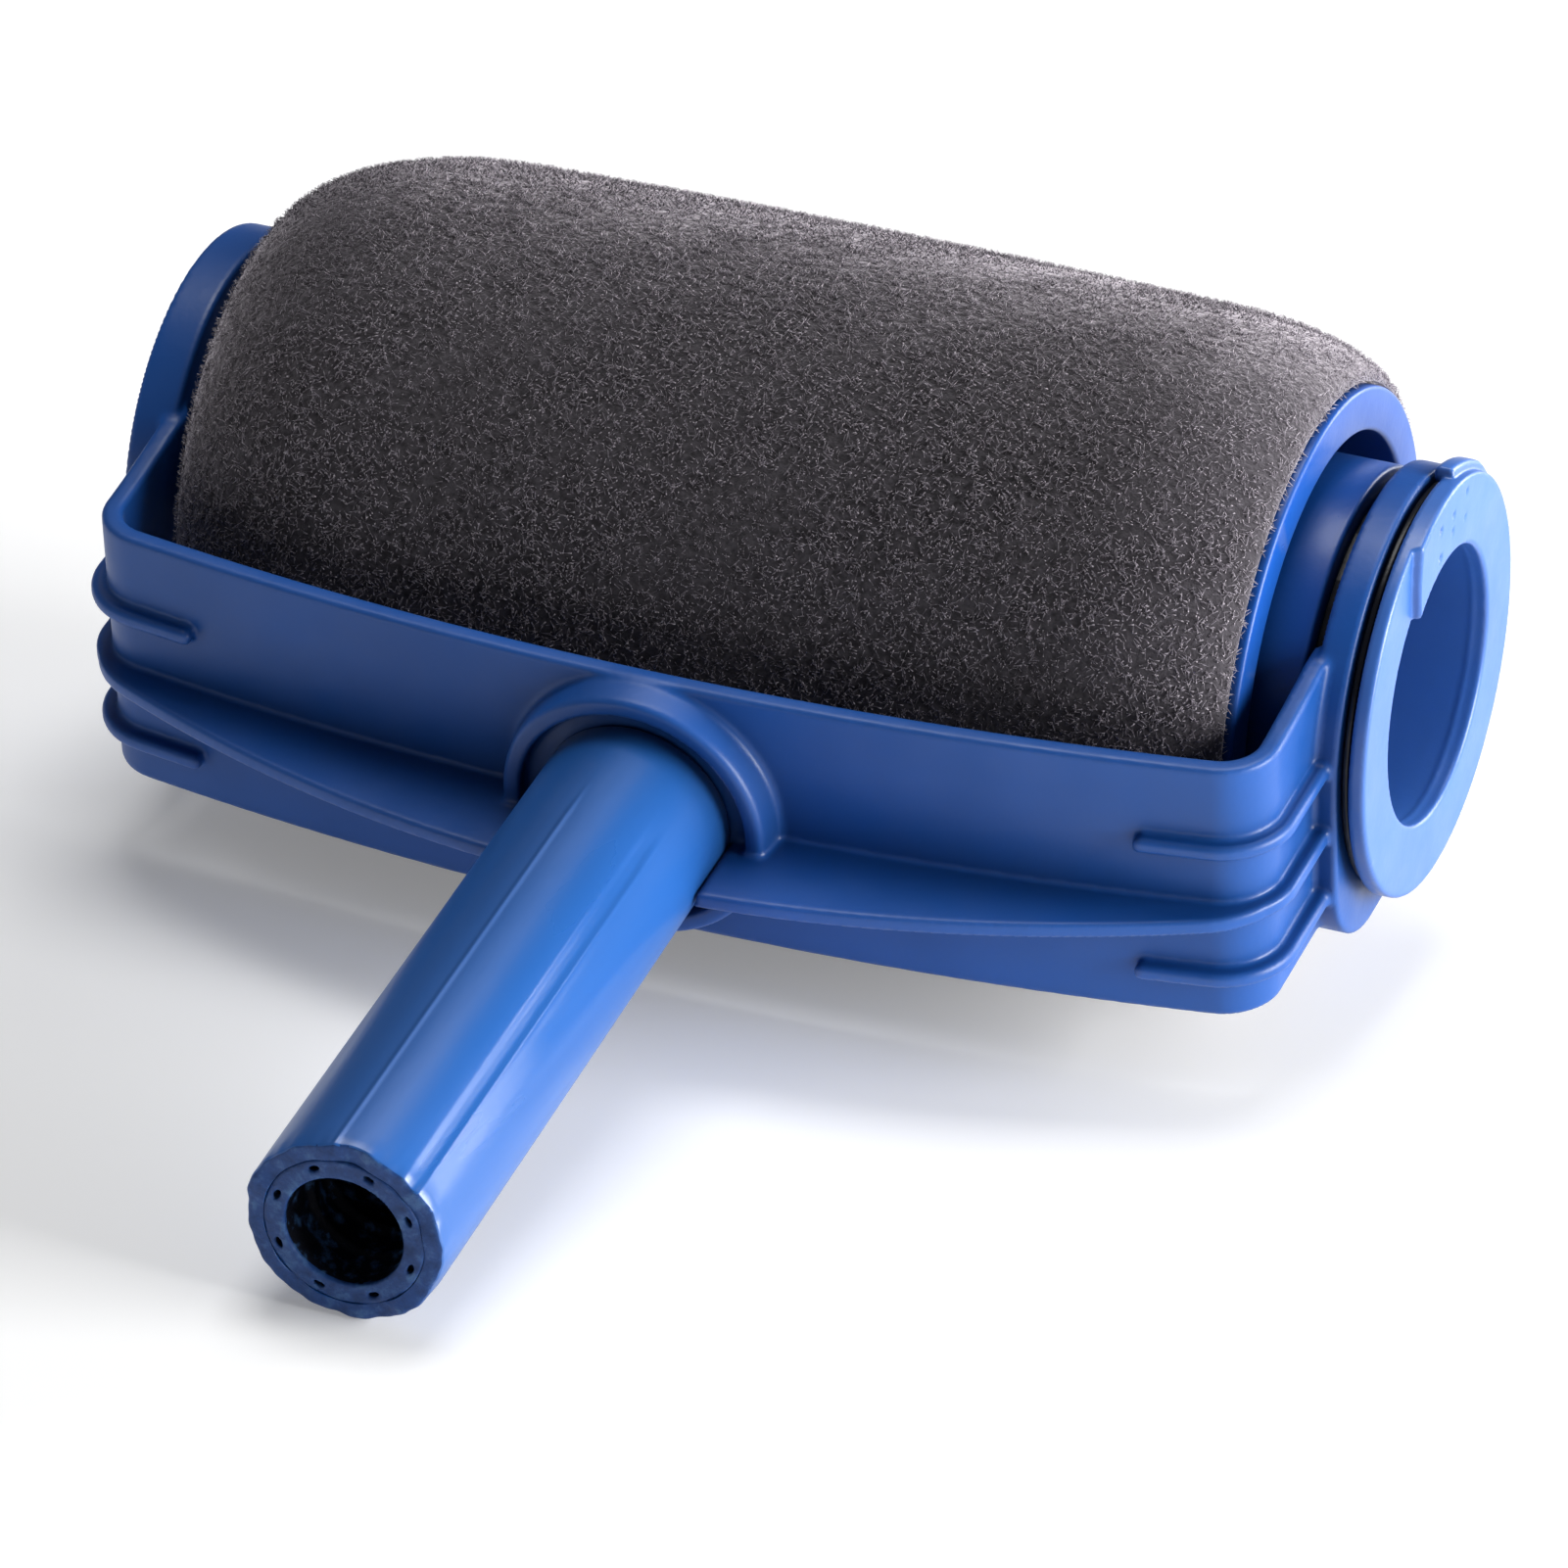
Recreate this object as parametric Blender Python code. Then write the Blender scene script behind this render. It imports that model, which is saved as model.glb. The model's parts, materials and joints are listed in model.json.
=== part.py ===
"""Refillable paint roller: a paint-holding drum that spins in a one-sided yoke on a socket handle.

Every size below is in millimetres, in the tool's own frame: X is the drum's axis with +X towards the
filler neck, the handle points along -Y, and +Z is up. The `tool` empty at the end turns that frame
until the sleeve and the tip of the handle both rest on the floor, and moves the middle of the
object's footprint to the origin.
"""

import math

import bmesh
import bpy
from mathutils import Matrix, Vector

MM = 0.001
GAP = 0.3           # clearance between two pieces that touch
ROUND = 40          # sides of a large turned piece
SMALL_ROUND = 24    # sides of a small turned piece

# Drum, sleeve and end caps
RIM_X = 75.0            # outer face of the rim at the filler end
RIM_R = 36.9
CLOSED_RIM_X = 73.0     # the closed end's rim is smaller, under the sleeve's rounder end
RECESS_R = 30.9         # bore of the rim, which opens into the recess
SHELL_R = 35.0
SHELL_WALL = 2.0
SHELL_END_X = 70.6
SLEEVE_R = 44.8         # at the middle of the slightly barrelled sleeve
SLEEVE_BARREL = 0.00025 # how much smaller it gets, times the square of the distance from the middle
SLEEVE_FILL_X = 74.5    # the sleeve stops round the rim at the filler end
SLEEVE_FILL_R = 37.4
SLEEVE_FILL_ROUND = 20.0
SLEEVE_CLOSED_X = 77.4  # and wraps over the rim at the closed end
SLEEVE_CLOSED_R = 31.5
SLEEVE_CLOSED_ROUND = 30.0
PILE_BORE_R = 40.3
FOAM_END_X = (-64.0, 68.0)  # the foam under the sleeve stops short of the rounded ends
PLUG_R = SHELL_R - SHELL_WALL - GAP
PLUG_END_X = 51.0       # inner end of the plug on each end cap
SEAL_X = 53.7           # each cap's O-ring lies in a groove round its plug
SEAL_GROOVE = (52.4, 55.0)
SEAL_GROOVE_DEPTH = 1.7
RECESS_FLOOR_X = 56.0
EDGE = 0.6              # chamfer on the rims
PERFORATION_R = 2.5
PERFORATED_RINGS = 4
HOLES_ROUND_HALF = 5    # each cutter makes a hole on both sides of the shell

# Filler neck and the hub it screws into
HUB_R = 27.3
HUB_END_X = 80.1
NECK_R = 22.0
NECK_BORE_R = 18.9
NECK_INNER_X = 58.0
NECK_GROOVE = (64.0, 66.0)
NECK_GROOVE_DEPTH = 1.3
FLANGE_R = 28.6
WASHER_R = 24.7         # clears the side wall, which ends at the ring
FLANGE_X = 90.8         # flat part of the flange's face
FLANGE_BACK_X = 88.1
FLANGE_HIGH = 0.5       # how far the thick end of the C-shaped flange rises above its flat part
FLANGE_LOW = 0.7        # and how far the thin end falls below it
FLANGE_FLAT_DEG = (80.0, 220.0)     # the flat part, as turns from the step between the two ends
FLANGE_STEP_DEG = 118.0             # where the step meets the bore
FLANGE_STEP_SLANT = 1.2             # degrees the step leans back for each millimetre out
LUG_R = 29.9            # a low lug on the flange's edge, which reaches back over the gap to the ring
LUG_DEG = (28.0, 74.0)
LUG_X = (87.0, 89.7)

# Yoke: a bowed front plate, two side walls, a ring on the right and a disc on the left
WALL = 2.8
YOKE_SHIFT = 0.6        # the plate and its ribs sit a little towards the filler end
FRONT_Y = 54.5          # outer face of the front plate at its middle
BOW = 6.0               # how far the middle stands out past the corners
SIDE_X = 82.8           # outer face of a side wall, measured from the plate's middle
CORNER_R = 8.0
YOKE_TOP = 16.0
YOKE_BOTTOM = -23.3
CREST_TOP = 17.5        # the side walls' top edge rises towards the ring and the disc
CREST_TIP_Y = -24.0
WALL_END_Y = -16.0
RING_IN_X = 82.0
RING_OUT_X = 86.6
DISC_IN_X = 80.4        # the disc is thicker than the ring
RING_R = 28.5
RING_OVERLAP = 2.2      # how far the side walls and ribs run under the ring and the disc
RING_BORE_R = 24.3
RING_HEEL_R = 14.0      # fillet at the ring's lower front corner
BUSH_FLANGE_R = 27.4
RIB_OUT = 2.2
RIB_THICK = 2.2
RIB_TOP_Z = (5.2, -5.0, -15.2)
RIB_END_X = 66.5
SHELF_DEPTH = 15.2      # how far the middle rib stands out at the handle

# Handle
HANDLE_Z = -3.0
HANDLE_X = 0.45
HANDLE_R = 13.35        # at the free end
HANDLE_BASE_R = 13.1    # the tube is slightly tapered
HANDLE_WALL = 2.6
HANDLE_EDGE = 0.8       # chamfer at the free end
SPIGOT_R = HANDLE_R - HANDLE_WALL - GAP
HANDLE_START = 57.0     # distances along the handle from the drum's axis
HANDLE_END = 151.0
COLLAR_R = 18.3
COLLAR_FACE = 59.0
SPIGOT_END = 84.0
INSERT_START = 88.0
INSERT_END = HANDLE_END - 0.6
SOCKET_R = 7.9
THREAD_PITCH = 5.0
THREAD_DEPTH = 0.7
THREAD_TURNS = 6
THREAD_LEVELS = 4       # rows of points for each turn of the thread
THREAD_LEAD_IN = 3.0
POCKETS = 8
POCKET_R = 0.8
POCKET_DEPTH = 3.0

# Screw that fixes the handle, and its washer
SCREW_SEAT = FRONT_Y - WALL + 3.0   # how far out along the handle the washer's seat lies
SCREW_BORE_R = 4.8
SCREW_HOLE_R = 2.0
SCREW_R = 1.6
SCREW_HEAD_R = 3.9
SCREW_HEAD = 2.4
SCREW_TIP = SPIGOT_END + 3.5
SLOT = 0.5              # half the width and the depth of the screw's slot
SCREW_WASHER = (1.9, 4.4, 1.0)      # bore radius, outer radius and thickness

# Axle at the closed end
STUB_R = 6.0
STUB_HEAD_R = 12.0
STUB_HEAD_X = -(FLANGE_X + FLANGE_HIGH)
STUB_INNER_X = -66.0
STUB_SLOT = (1.5, 1.2, 8.0)         # depth, half width and half length of the coin slot
AXLE_BUSH_WALL = 2.4
BOSS_R = 12.0
BOSS_END_X = -78.4
BOSS_BACK_X = -64.0
WEB_X = (-61.0, -65.0)  # the disc that closes the drum
PLUG_SKIRT = 4.5


def clear_scene():
    for thing in list(bpy.data.objects):
        bpy.data.objects.remove(thing, do_unlink=True)


def plastic(name, colour, roughness, metallic=0.0):
    material = bpy.data.materials.new(name)
    material.use_nodes = True
    shader = material.node_tree.nodes["Principled BSDF"]
    shader.inputs["Base Color"].default_value = (*colour, 1.0)
    shader.inputs["Roughness"].default_value = roughness
    shader.inputs["Metallic"].default_value = metallic
    material.diffuse_color = (*colour, 1.0)
    return material


def empty(name, parent=None):
    guide = bpy.data.objects.new(name, None)
    bpy.context.collection.objects.link(guide)
    guide.parent = parent
    return guide


def solid(name, bm):
    """Turn a bmesh in millimetres into an object in metres, with its faces pointing out."""
    bmesh.ops.remove_doubles(bm, verts=bm.verts, dist=1e-4)
    bmesh.ops.recalc_face_normals(bm, faces=bm.faces)
    bmesh.ops.scale(bm, vec=(MM, MM, MM), verts=bm.verts)
    mesh = bpy.data.meshes.new(name)
    bm.to_mesh(mesh)
    bm.free()
    thing = bpy.data.objects.new(name, mesh)
    bpy.context.collection.objects.link(thing)
    return thing


def turned(name, profile, steps=ROUND):
    """Spin a closed outline of (x, r) points about the X axis. A point with r = 0 is on the axis."""
    bm = bmesh.new()
    rings = []
    for x, r in profile:
        if r == 0:
            rings.append([bm.verts.new((x, 0, 0))] * steps)
            continue
        angles = [2 * math.pi * i / steps for i in range(steps)]
        rings.append([bm.verts.new((x, r * math.cos(a), r * math.sin(a))) for a in angles])
    for ring, following in zip(rings, rings[1:] + rings[:1]):
        for i in range(steps):
            j = (i + 1) % steps
            corners = list(dict.fromkeys((ring[i], ring[j], following[j], following[i])))
            if len(corners) > 2:
                bm.faces.new(corners)
    return solid(name, bm)


def prism(name, outline, low, high, axis="Z"):
    """Extrude a closed outline. Along Z it holds (x, y) points, and along X it holds (y, z) points."""
    def place(a, b, height):
        return (a, b, height) if axis == "Z" else (height, a, b)

    bm = bmesh.new()
    bottom = [bm.verts.new(place(a, b, low)) for a, b in outline]
    top = [bm.verts.new(place(a, b, high)) for a, b in outline]
    bm.faces.new(bottom)
    bm.faces.new(top)
    for i in range(len(outline)):
        j = (i + 1) % len(outline)
        bm.faces.new((bottom[i], bottom[j], top[j], top[i]))
    return solid(name, bm)


def combine(base, tool, operation):
    """Join the tool to the base, or cut it out, and drop the tool."""
    modifier = base.modifiers.new(operation, "BOOLEAN")
    modifier.operation = operation
    modifier.solver = "EXACT"
    modifier.object = tool
    bpy.context.view_layer.update()
    evaluated = base.evaluated_get(bpy.context.evaluated_depsgraph_get())
    mesh = bpy.data.meshes.new_from_object(evaluated)
    base.modifiers.clear()
    base.data = mesh
    bpy.data.objects.remove(tool, do_unlink=True)
    return base


def finish(thing, material, parent, sharp_deg=35.0):
    thing.data.materials.clear()
    thing.data.materials.append(material)
    thing.data.shade_smooth()
    thing.data.set_sharp_from_angle(angle=math.radians(sharp_deg))
    thing.parent = parent
    return thing


def along_handle(thing):
    """Lay a piece that was turned about X along the handle, with x as the distance from the drum's axis."""
    thing.rotation_euler = (0, 0, -math.pi / 2)
    thing.location = (HANDLE_X * MM, 0, HANDLE_Z * MM)
    return thing


def arc(centre, radius, start_deg, end_deg, steps):
    points = []
    for i in range(steps + 1):
        a = math.radians(start_deg + (end_deg - start_deg) * i / steps)
        points.append((centre[0] + radius * math.cos(a), centre[1] + radius * math.sin(a)))
    return points


def hoop(name, x, centre_r, section_r, steps=ROUND):
    """An O-ring: a small round section spun about the X axis."""
    return turned(name, arc((x, centre_r), section_r, 0, 300, 5), steps)


# ---------------------------------------------------------------- yoke

BOW_R = ((SIDE_X - CORNER_R) ** 2 + BOW**2) / (2 * BOW)
BOW_CENTRE_Y = BOW_R - FRONT_Y
CORNER_X = SIDE_X - CORNER_R
CORNER_Y = BOW_CENTRE_Y - math.sqrt((BOW_R - CORNER_R) ** 2 - CORNER_X**2)
CORNER_DEG = math.degrees(math.asin(CORNER_X / (BOW_R - CORNER_R)))


def bow_point(x, offset):
    """A point on the front plate's bowed face, moved outwards by the offset."""
    r = BOW_R + offset
    return (x, BOW_CENTRE_Y - math.sqrt(r * r - x * x))


def right_corner(offset, end_y, steps=6):
    """The side wall's line and the rounded corner, from the back to the front plate."""
    corner = arc((CORNER_X, CORNER_Y), CORNER_R + offset, 0, CORNER_DEG - 90, steps)
    return [(SIDE_X + offset, end_y)] + corner


def mirrored(points):
    return [(-x, y) for x, y in reversed(points)]


def wall_path(offset, end_y):
    """The whole U-shaped line in plan, from the right ring round the front to the left disc."""
    side = right_corner(offset, end_y)
    reach = side[-1][0]
    bow = [bow_point(reach * (1 - i / 6), offset) for i in range(1, 12)]
    return side + bow + mirrored(side)


def wall_band():
    outline = wall_path(0, WALL_END_Y) + list(reversed(wall_path(-WALL, WALL_END_Y)))
    return prism("yoke_frame", outline, YOKE_BOTTOM, YOKE_TOP)


def corner_rib(side, top):
    """A rib that runs from the ring round the corner and ends on the front plate."""
    back_y = 0.4 - RING_R
    outer = right_corner(RIB_OUT, back_y) + [bow_point(RIB_END_X + 2, RIB_OUT), bow_point(RIB_END_X, 0.6)]
    inner = right_corner(-WALL / 2, back_y) + [bow_point(RIB_END_X, -WALL / 2)]
    outline = outer + list(reversed(inner))
    if side < 0:
        outline = mirrored(outline)
    return prism("rib", outline, top - RIB_THICK, top)


def shelf_rib(top):
    """The middle rib: it follows both corners and swells into a crescent shelf at the handle."""
    back_y = 0.4 - RING_R
    side = right_corner(RIB_OUT, back_y)
    reach = side[-1][0]
    crescent = []
    for i in range(1, 16):
        x = reach * (1 - i / 8)
        swell = (SHELF_DEPTH - RIB_OUT) * (1 - (x / reach) ** 2)
        crescent.append(bow_point(x, RIB_OUT + swell))
    outer = side + crescent + mirrored(side)
    inner = list(reversed(wall_path(-WALL / 2, back_y)))
    return prism("shelf", outer + inner, top - RIB_THICK, top)


def wall_crest(side):
    """The sloping strip on top of a side wall, up to the tip where it meets the ring or the disc."""
    root = YOKE_TOP - 4
    outline = [
        (CORNER_Y, root), (WALL_END_Y, root), (WALL_END_Y, CREST_TOP), (CREST_TIP_Y, CREST_TOP),
        (CORNER_Y, YOKE_TOP),
    ]
    low, high = sorted((side * (SIDE_X - WALL), side * SIDE_X))
    return prism("wall_crest", outline, low, high, "X")


def ring_outline(radius):
    """Round at the top and back, with a straight front edge and a filleted heel below the side wall."""
    heel = radius - RING_HEEL_R
    outline = arc((0, 0), radius, -90, 180, 30)
    outline += arc((-heel, -heel), RING_HEEL_R, 180, 270, 6)
    return outline


def yoke(material, parent):
    frame = wall_band()
    for top in (RIB_TOP_Z[0], RIB_TOP_Z[2]):
        for side in (1, -1):
            combine(frame, corner_rib(side, top), "UNION")
    combine(frame, shelf_rib(RIB_TOP_Z[1]), "UNION")
    for side in (1, -1):
        combine(frame, wall_crest(side), "UNION")
    frame.data.transform(Matrix.Translation((YOKE_SHIFT * MM, 0, 0)))
    clearing_r = RING_R - RING_OVERLAP
    clearing = turned("clearing", [(-95, 0), (-95, clearing_r), (95, clearing_r), (95, 0)])
    combine(frame, clearing, "DIFFERENCE")
    right_ring = prism("right_ring", ring_outline(RING_R), RING_IN_X, RING_OUT_X, "X")
    left_disc = prism("left_disc", ring_outline(RING_R), -RING_OUT_X, -DISC_IN_X, "X")
    combine(frame, right_ring, "UNION")
    combine(frame, left_disc, "UNION")
    ring_bore = turned("ring_bore", [(70, 0), (70, RING_BORE_R), (95, RING_BORE_R), (95, 0)])
    stub_bore = turned("stub_bore", [(-95, 0), (-95, STUB_R + GAP), (-70, STUB_R + GAP), (-70, 0)], SMALL_ROUND)
    combine(frame, ring_bore, "DIFFERENCE")
    combine(frame, stub_bore, "DIFFERENCE")
    combine(frame, handle_seat(), "UNION")
    combine(frame, handle_groove(), "DIFFERENCE")
    combine(frame, screw_bore(), "DIFFERENCE")
    return finish(frame, material, parent)


def handle_seat():
    """The raised collar on the front plate and the spigot inside it that the handle is pushed on."""
    root = FRONT_Y - 1.6
    profile = [
        (root, 0), (root, COLLAR_R + 1.4), (FRONT_Y + 1.5, COLLAR_R + 0.5), (COLLAR_FACE, COLLAR_R),
        (COLLAR_FACE, SPIGOT_R), (SPIGOT_END - 1, SPIGOT_R), (SPIGOT_END, SPIGOT_R - 1), (SPIGOT_END, 0),
    ]
    return placed(turned("handle_seat", profile, 36))


def handle_groove():
    """The hollow between the collar's rim and the handle, where the tube's end sits."""
    floor = HANDLE_START - GAP
    profile = [
        (floor, SPIGOT_R), (floor, HANDLE_BASE_R + 0.8), (COLLAR_FACE - 0.6, COLLAR_R - 1.4),
        (COLLAR_FACE + GAP, COLLAR_R - 0.9), (COLLAR_FACE + GAP, HANDLE_BASE_R + GAP),
        (SPIGOT_END + 1, HANDLE_BASE_R + GAP), (SPIGOT_END + 1, SPIGOT_R),
    ]
    return placed(turned("handle_groove", profile, 36))


def screw_bore():
    """A through hole for the handle's fixing screw, with a wider seat for its head and washer."""
    start, end = 40, SPIGOT_END + 5
    profile = [
        (start, 0), (start, SCREW_BORE_R), (SCREW_SEAT, SCREW_BORE_R), (SCREW_SEAT, SCREW_HOLE_R),
        (end, SCREW_HOLE_R), (end, 0),
    ]
    return placed(turned("screw_bore", profile, SMALL_ROUND))


def placed(thing):
    """Apply the handle's placing to the mesh, for a shape that joins the yoke."""
    along_handle(thing)
    turn = Matrix.Translation(thing.location) @ thing.rotation_euler.to_matrix().to_4x4()
    thing.data.transform(turn)
    thing.matrix_basis = Matrix.Identity(4)
    return thing


# ---------------------------------------------------------------- handle

def handle_tube(material, parent):
    bore = HANDLE_R - HANDLE_WALL
    profile = [
        (HANDLE_START, bore), (HANDLE_START, HANDLE_BASE_R), (HANDLE_END - HANDLE_EDGE, HANDLE_R),
        (HANDLE_END, HANDLE_R - HANDLE_EDGE), (HANDLE_END, bore),
    ]
    return finish(along_handle(turned("handle_tube", profile, 36)), material, parent)


def pole_insert(material, parent):
    """The threaded lining that takes an extension pole, with blind pockets round its mouth."""
    steps = SMALL_ROUND
    bm = bmesh.new()
    first = INSERT_END - THREAD_LEAD_IN - THREAD_TURNS * THREAD_PITCH
    rows = [[(INSERT_START, SPIGOT_R)] * steps, [(INSERT_START, SOCKET_R)] * steps]
    for level in range(THREAD_TURNS * THREAD_LEVELS + 1):
        turn = level / THREAD_LEVELS
        fade = min(1.0, turn, THREAD_TURNS - turn)
        row = []
        for i in range(steps):
            phase = (turn - i / steps) % 1.0
            ridge = max(0.0, 1 - abs(phase - 0.5) * 4)
            row.append((first + turn * THREAD_PITCH, SOCKET_R - THREAD_DEPTH * ridge * fade))
        rows.append(row)
    rows += [[(INSERT_END, SOCKET_R)] * steps, [(INSERT_END, SPIGOT_R)] * steps]
    rings = []
    for row in rows:
        angles = [2 * math.pi * i / steps for i in range(steps)]
        rings.append([bm.verts.new((x, r * math.cos(a), r * math.sin(a))) for a, (x, r) in zip(angles, row)])
    for ring, following in zip(rings, rings[1:] + rings[:1]):
        for i in range(steps):
            j = (i + 1) % steps
            bm.faces.new((ring[i], ring[j], following[j], following[i]))
    insert = solid("pole_insert", bm)
    pocket_centre_r = (SPIGOT_R + SOCKET_R) / 2
    floor, above = INSERT_END - POCKET_DEPTH, INSERT_END + 2
    for i in range(POCKETS):
        a = 2 * math.pi * (i + 0.5) / POCKETS
        pocket = turned("pocket", [(floor, 0), (floor, POCKET_R), (above, POCKET_R), (above, 0)], 6)
        shift = Vector((0, pocket_centre_r * math.cos(a), pocket_centre_r * math.sin(a))) * MM
        pocket.data.transform(Matrix.Translation(shift))
        combine(insert, pocket, "DIFFERENCE")
    return finish(along_handle(insert), material, parent)


def handle_screw(material, parent):
    """A self-tapping screw from inside the yoke, which holds the handle through the spigot."""
    under_head = SCREW_SEAT - SCREW_WASHER[2] - GAP
    top = under_head - SCREW_HEAD
    flat_r = SCREW_HEAD_R - SCREW_HEAD / 2
    profile = [
        (top, 0), (top, flat_r), (under_head - SCREW_HEAD / 2, SCREW_HEAD_R), (under_head, SCREW_HEAD_R),
        (under_head, SCREW_R), (SPIGOT_END + 1, SCREW_R), (SCREW_TIP, 0),
    ]
    screw = turned("handle_screw", profile, 16)
    slot = prism("slot", [(-SLOT, -SLOT), (SLOT, -SLOT), (SLOT, SLOT), (-SLOT, SLOT)], -flat_r, flat_r)
    slot.data.transform(Matrix.Translation(Vector((top, 0, 0)) * MM))
    combine(screw, slot, "DIFFERENCE")
    return finish(along_handle(screw), material, parent)


def handle_screw_washer(material, parent):
    bore, outer, thickness = SCREW_WASHER
    far = SCREW_SEAT - GAP / 2
    near = far - thickness
    profile = [(near, bore), (near, outer), (far, outer), (far, bore)]
    washer = turned("handle_screw_washer", profile, SMALL_ROUND)
    return finish(along_handle(washer), material, parent)


# ---------------------------------------------------------------- bearings

def neck_bush(material, parent):
    """A flanged plain bearing in the yoke's ring, which the filler neck turns in."""
    bore = NECK_R + GAP
    inner_x, ring_face, outer_x = RING_IN_X + GAP, RING_OUT_X + GAP, FLANGE_BACK_X - GAP
    profile = [
        (inner_x, bore), (outer_x, bore), (outer_x, BUSH_FLANGE_R), (ring_face, BUSH_FLANGE_R),
        (ring_face, RING_BORE_R - GAP), (inner_x, RING_BORE_R - GAP),
    ]
    return finish(turned("neck_bush", profile), material, parent)


def axle_stub(material, parent):
    """The shouldered pin in the yoke's left disc, with a coin slot in its head."""
    head_in = -RING_OUT_X - GAP
    profile = [
        (STUB_HEAD_X, 0), (STUB_HEAD_X, STUB_HEAD_R - 1), (STUB_HEAD_X + 1, STUB_HEAD_R),
        (head_in, STUB_HEAD_R), (head_in, STUB_R), (STUB_INNER_X - 1, STUB_R), (STUB_INNER_X, STUB_R - 1),
        (STUB_INNER_X, 0),
    ]
    stub = turned("axle_stub", profile, SMALL_ROUND)
    depth, half, reach = STUB_SLOT
    slot = prism("slot", [(-depth, -half), (depth, -half), (depth, half), (-depth, half)], -reach, reach)
    slot.data.transform(Matrix.Translation(Vector((STUB_HEAD_X, 0, 0)) * MM))
    combine(stub, slot, "DIFFERENCE")
    return finish(stub, material, parent)


def axle_bush(material, parent):
    outer = STUB_R + GAP + AXLE_BUSH_WALL
    near = BOSS_END_X + GAP
    far = STUB_INNER_X - 1.5
    profile = [(near, STUB_R + GAP), (near, outer), (far, outer), (far, STUB_R + GAP)]
    return finish(turned("axle_bush", profile, SMALL_ROUND), material, parent)


def thrust_washer(name, near, far, bore, outer, material, parent):
    washer = turned(name, [(near, bore), (near, outer), (far, outer), (far, bore)])
    return finish(washer, material, parent)


# ---------------------------------------------------------------- drum

def drum_shell(material, parent):
    """The perforated tube that holds the paint."""
    bore = SHELL_R - SHELL_WALL
    shell = turned("drum_shell", [
        (-SHELL_END_X, bore), (-SHELL_END_X, SHELL_R), (SHELL_END_X, SHELL_R), (SHELL_END_X, bore),
    ])
    ring_pitch = 2 * (SHELL_END_X - 24) / (PERFORATED_RINGS - 1)
    for ring in range(PERFORATED_RINGS):
        x = (ring - (PERFORATED_RINGS - 1) / 2) * ring_pitch
        for hole in range(HOLES_ROUND_HALF):
            turn = math.pi * (hole + 0.5 * (ring % 2)) / HOLES_ROUND_HALF + 0.01
            drill = turned("drill", [(-40, 0), (-40, PERFORATION_R), (40, PERFORATION_R), (40, 0)], 8)
            place = Matrix.Translation(Vector((x, 0, 0)) * MM)
            place @= Matrix.Rotation(turn, 4, "X") @ Matrix.Rotation(math.pi / 2, 4, "Z")
            drill.data.transform(place)
            combine(shell, drill, "DIFFERENCE")
    return finish(shell, material, parent)


def seal_groove():
    """The O-ring groove round a cap's plug, from the rim's side inwards."""
    near, far = SEAL_GROOVE
    floor = PLUG_R - SEAL_GROOVE_DEPTH
    return [(far, PLUG_R), (far, floor), (near, floor), (near, PLUG_R)]


def fill_end_cap(material, parent):
    """A cup with a rim outside, a deep recess, and a hub that the filler neck screws into."""
    shoulder = SHELL_END_X + GAP
    bore = NECK_R + GAP
    profile = [(RIM_X - EDGE, RIM_R), (shoulder, RIM_R), (shoulder, PLUG_R)] + seal_groove() + [
        (PLUG_END_X, PLUG_R), (PLUG_END_X, bore), (HUB_END_X, bore), (HUB_END_X, HUB_R),
        (RECESS_FLOOR_X, HUB_R), (RECESS_FLOOR_X, RECESS_R), (RIM_X, RECESS_R), (RIM_X, RIM_R - EDGE),
    ]
    return finish(turned("fill_end_cap", profile), material, parent)


def closed_end_cap(material, parent):
    """The other end: a shallow recess and a blind boss for the axle."""
    shoulder = -(SHELL_END_X + GAP)
    boss_bore = STUB_R + 2 * GAP + AXLE_BUSH_WALL
    inner, outer = WEB_X
    skirt_r = PLUG_R - PLUG_SKIRT
    profile = [
        (-CLOSED_RIM_X, SHELL_R - EDGE), (-CLOSED_RIM_X + EDGE, SHELL_R), (shoulder, SHELL_R), (shoulder, PLUG_R),
    ]
    profile += [(-x, r) for x, r in seal_groove()]
    profile += [
        (-PLUG_END_X, PLUG_R), (-PLUG_END_X, skirt_r), (inner, skirt_r), (inner, 0), (BOSS_BACK_X, 0),
        (BOSS_BACK_X, boss_bore), (BOSS_END_X, boss_bore), (BOSS_END_X, BOSS_R), (outer, BOSS_R),
        (outer, RECESS_R), (-CLOSED_RIM_X, RECESS_R),
    ]
    return finish(turned("closed_end_cap", profile), material, parent)


def flange_face(turn_deg):
    """The flange starts high at its thick end, is flat for most of its turn, and ends low at the step."""
    flat_start, flat_end = FLANGE_FLAT_DEG
    high = max(0.0, 1 - turn_deg / flat_start)
    low = max(0.0, turn_deg - flat_end) / (360.0 - flat_end)
    return FLANGE_X + FLANGE_HIGH * high - FLANGE_LOW * low


def flange_point(x, r, turn_deg):
    a = math.radians(FLANGE_STEP_DEG - FLANGE_STEP_SLANT * (r - NECK_BORE_R) - turn_deg)
    return (x, r * math.cos(a), r * math.sin(a))


def flange_lug():
    """A band outside the flange's edge that starts abruptly and fades out round the turn."""
    low, high = LUG_DEG
    inner = arc((0, 0), BUSH_FLANGE_R + GAP, low, high, 5)
    outer = []
    for i in range(6):
        a = math.radians(high + (low - high) * i / 5)
        r = FLANGE_R + (LUG_R - FLANGE_R) * min(1.0, (5 - i) / 3)
        outer.append((r * math.cos(a), r * math.sin(a)))
    return prism("lug", inner + outer, LUG_X[0], LUG_X[1], "X")


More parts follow.
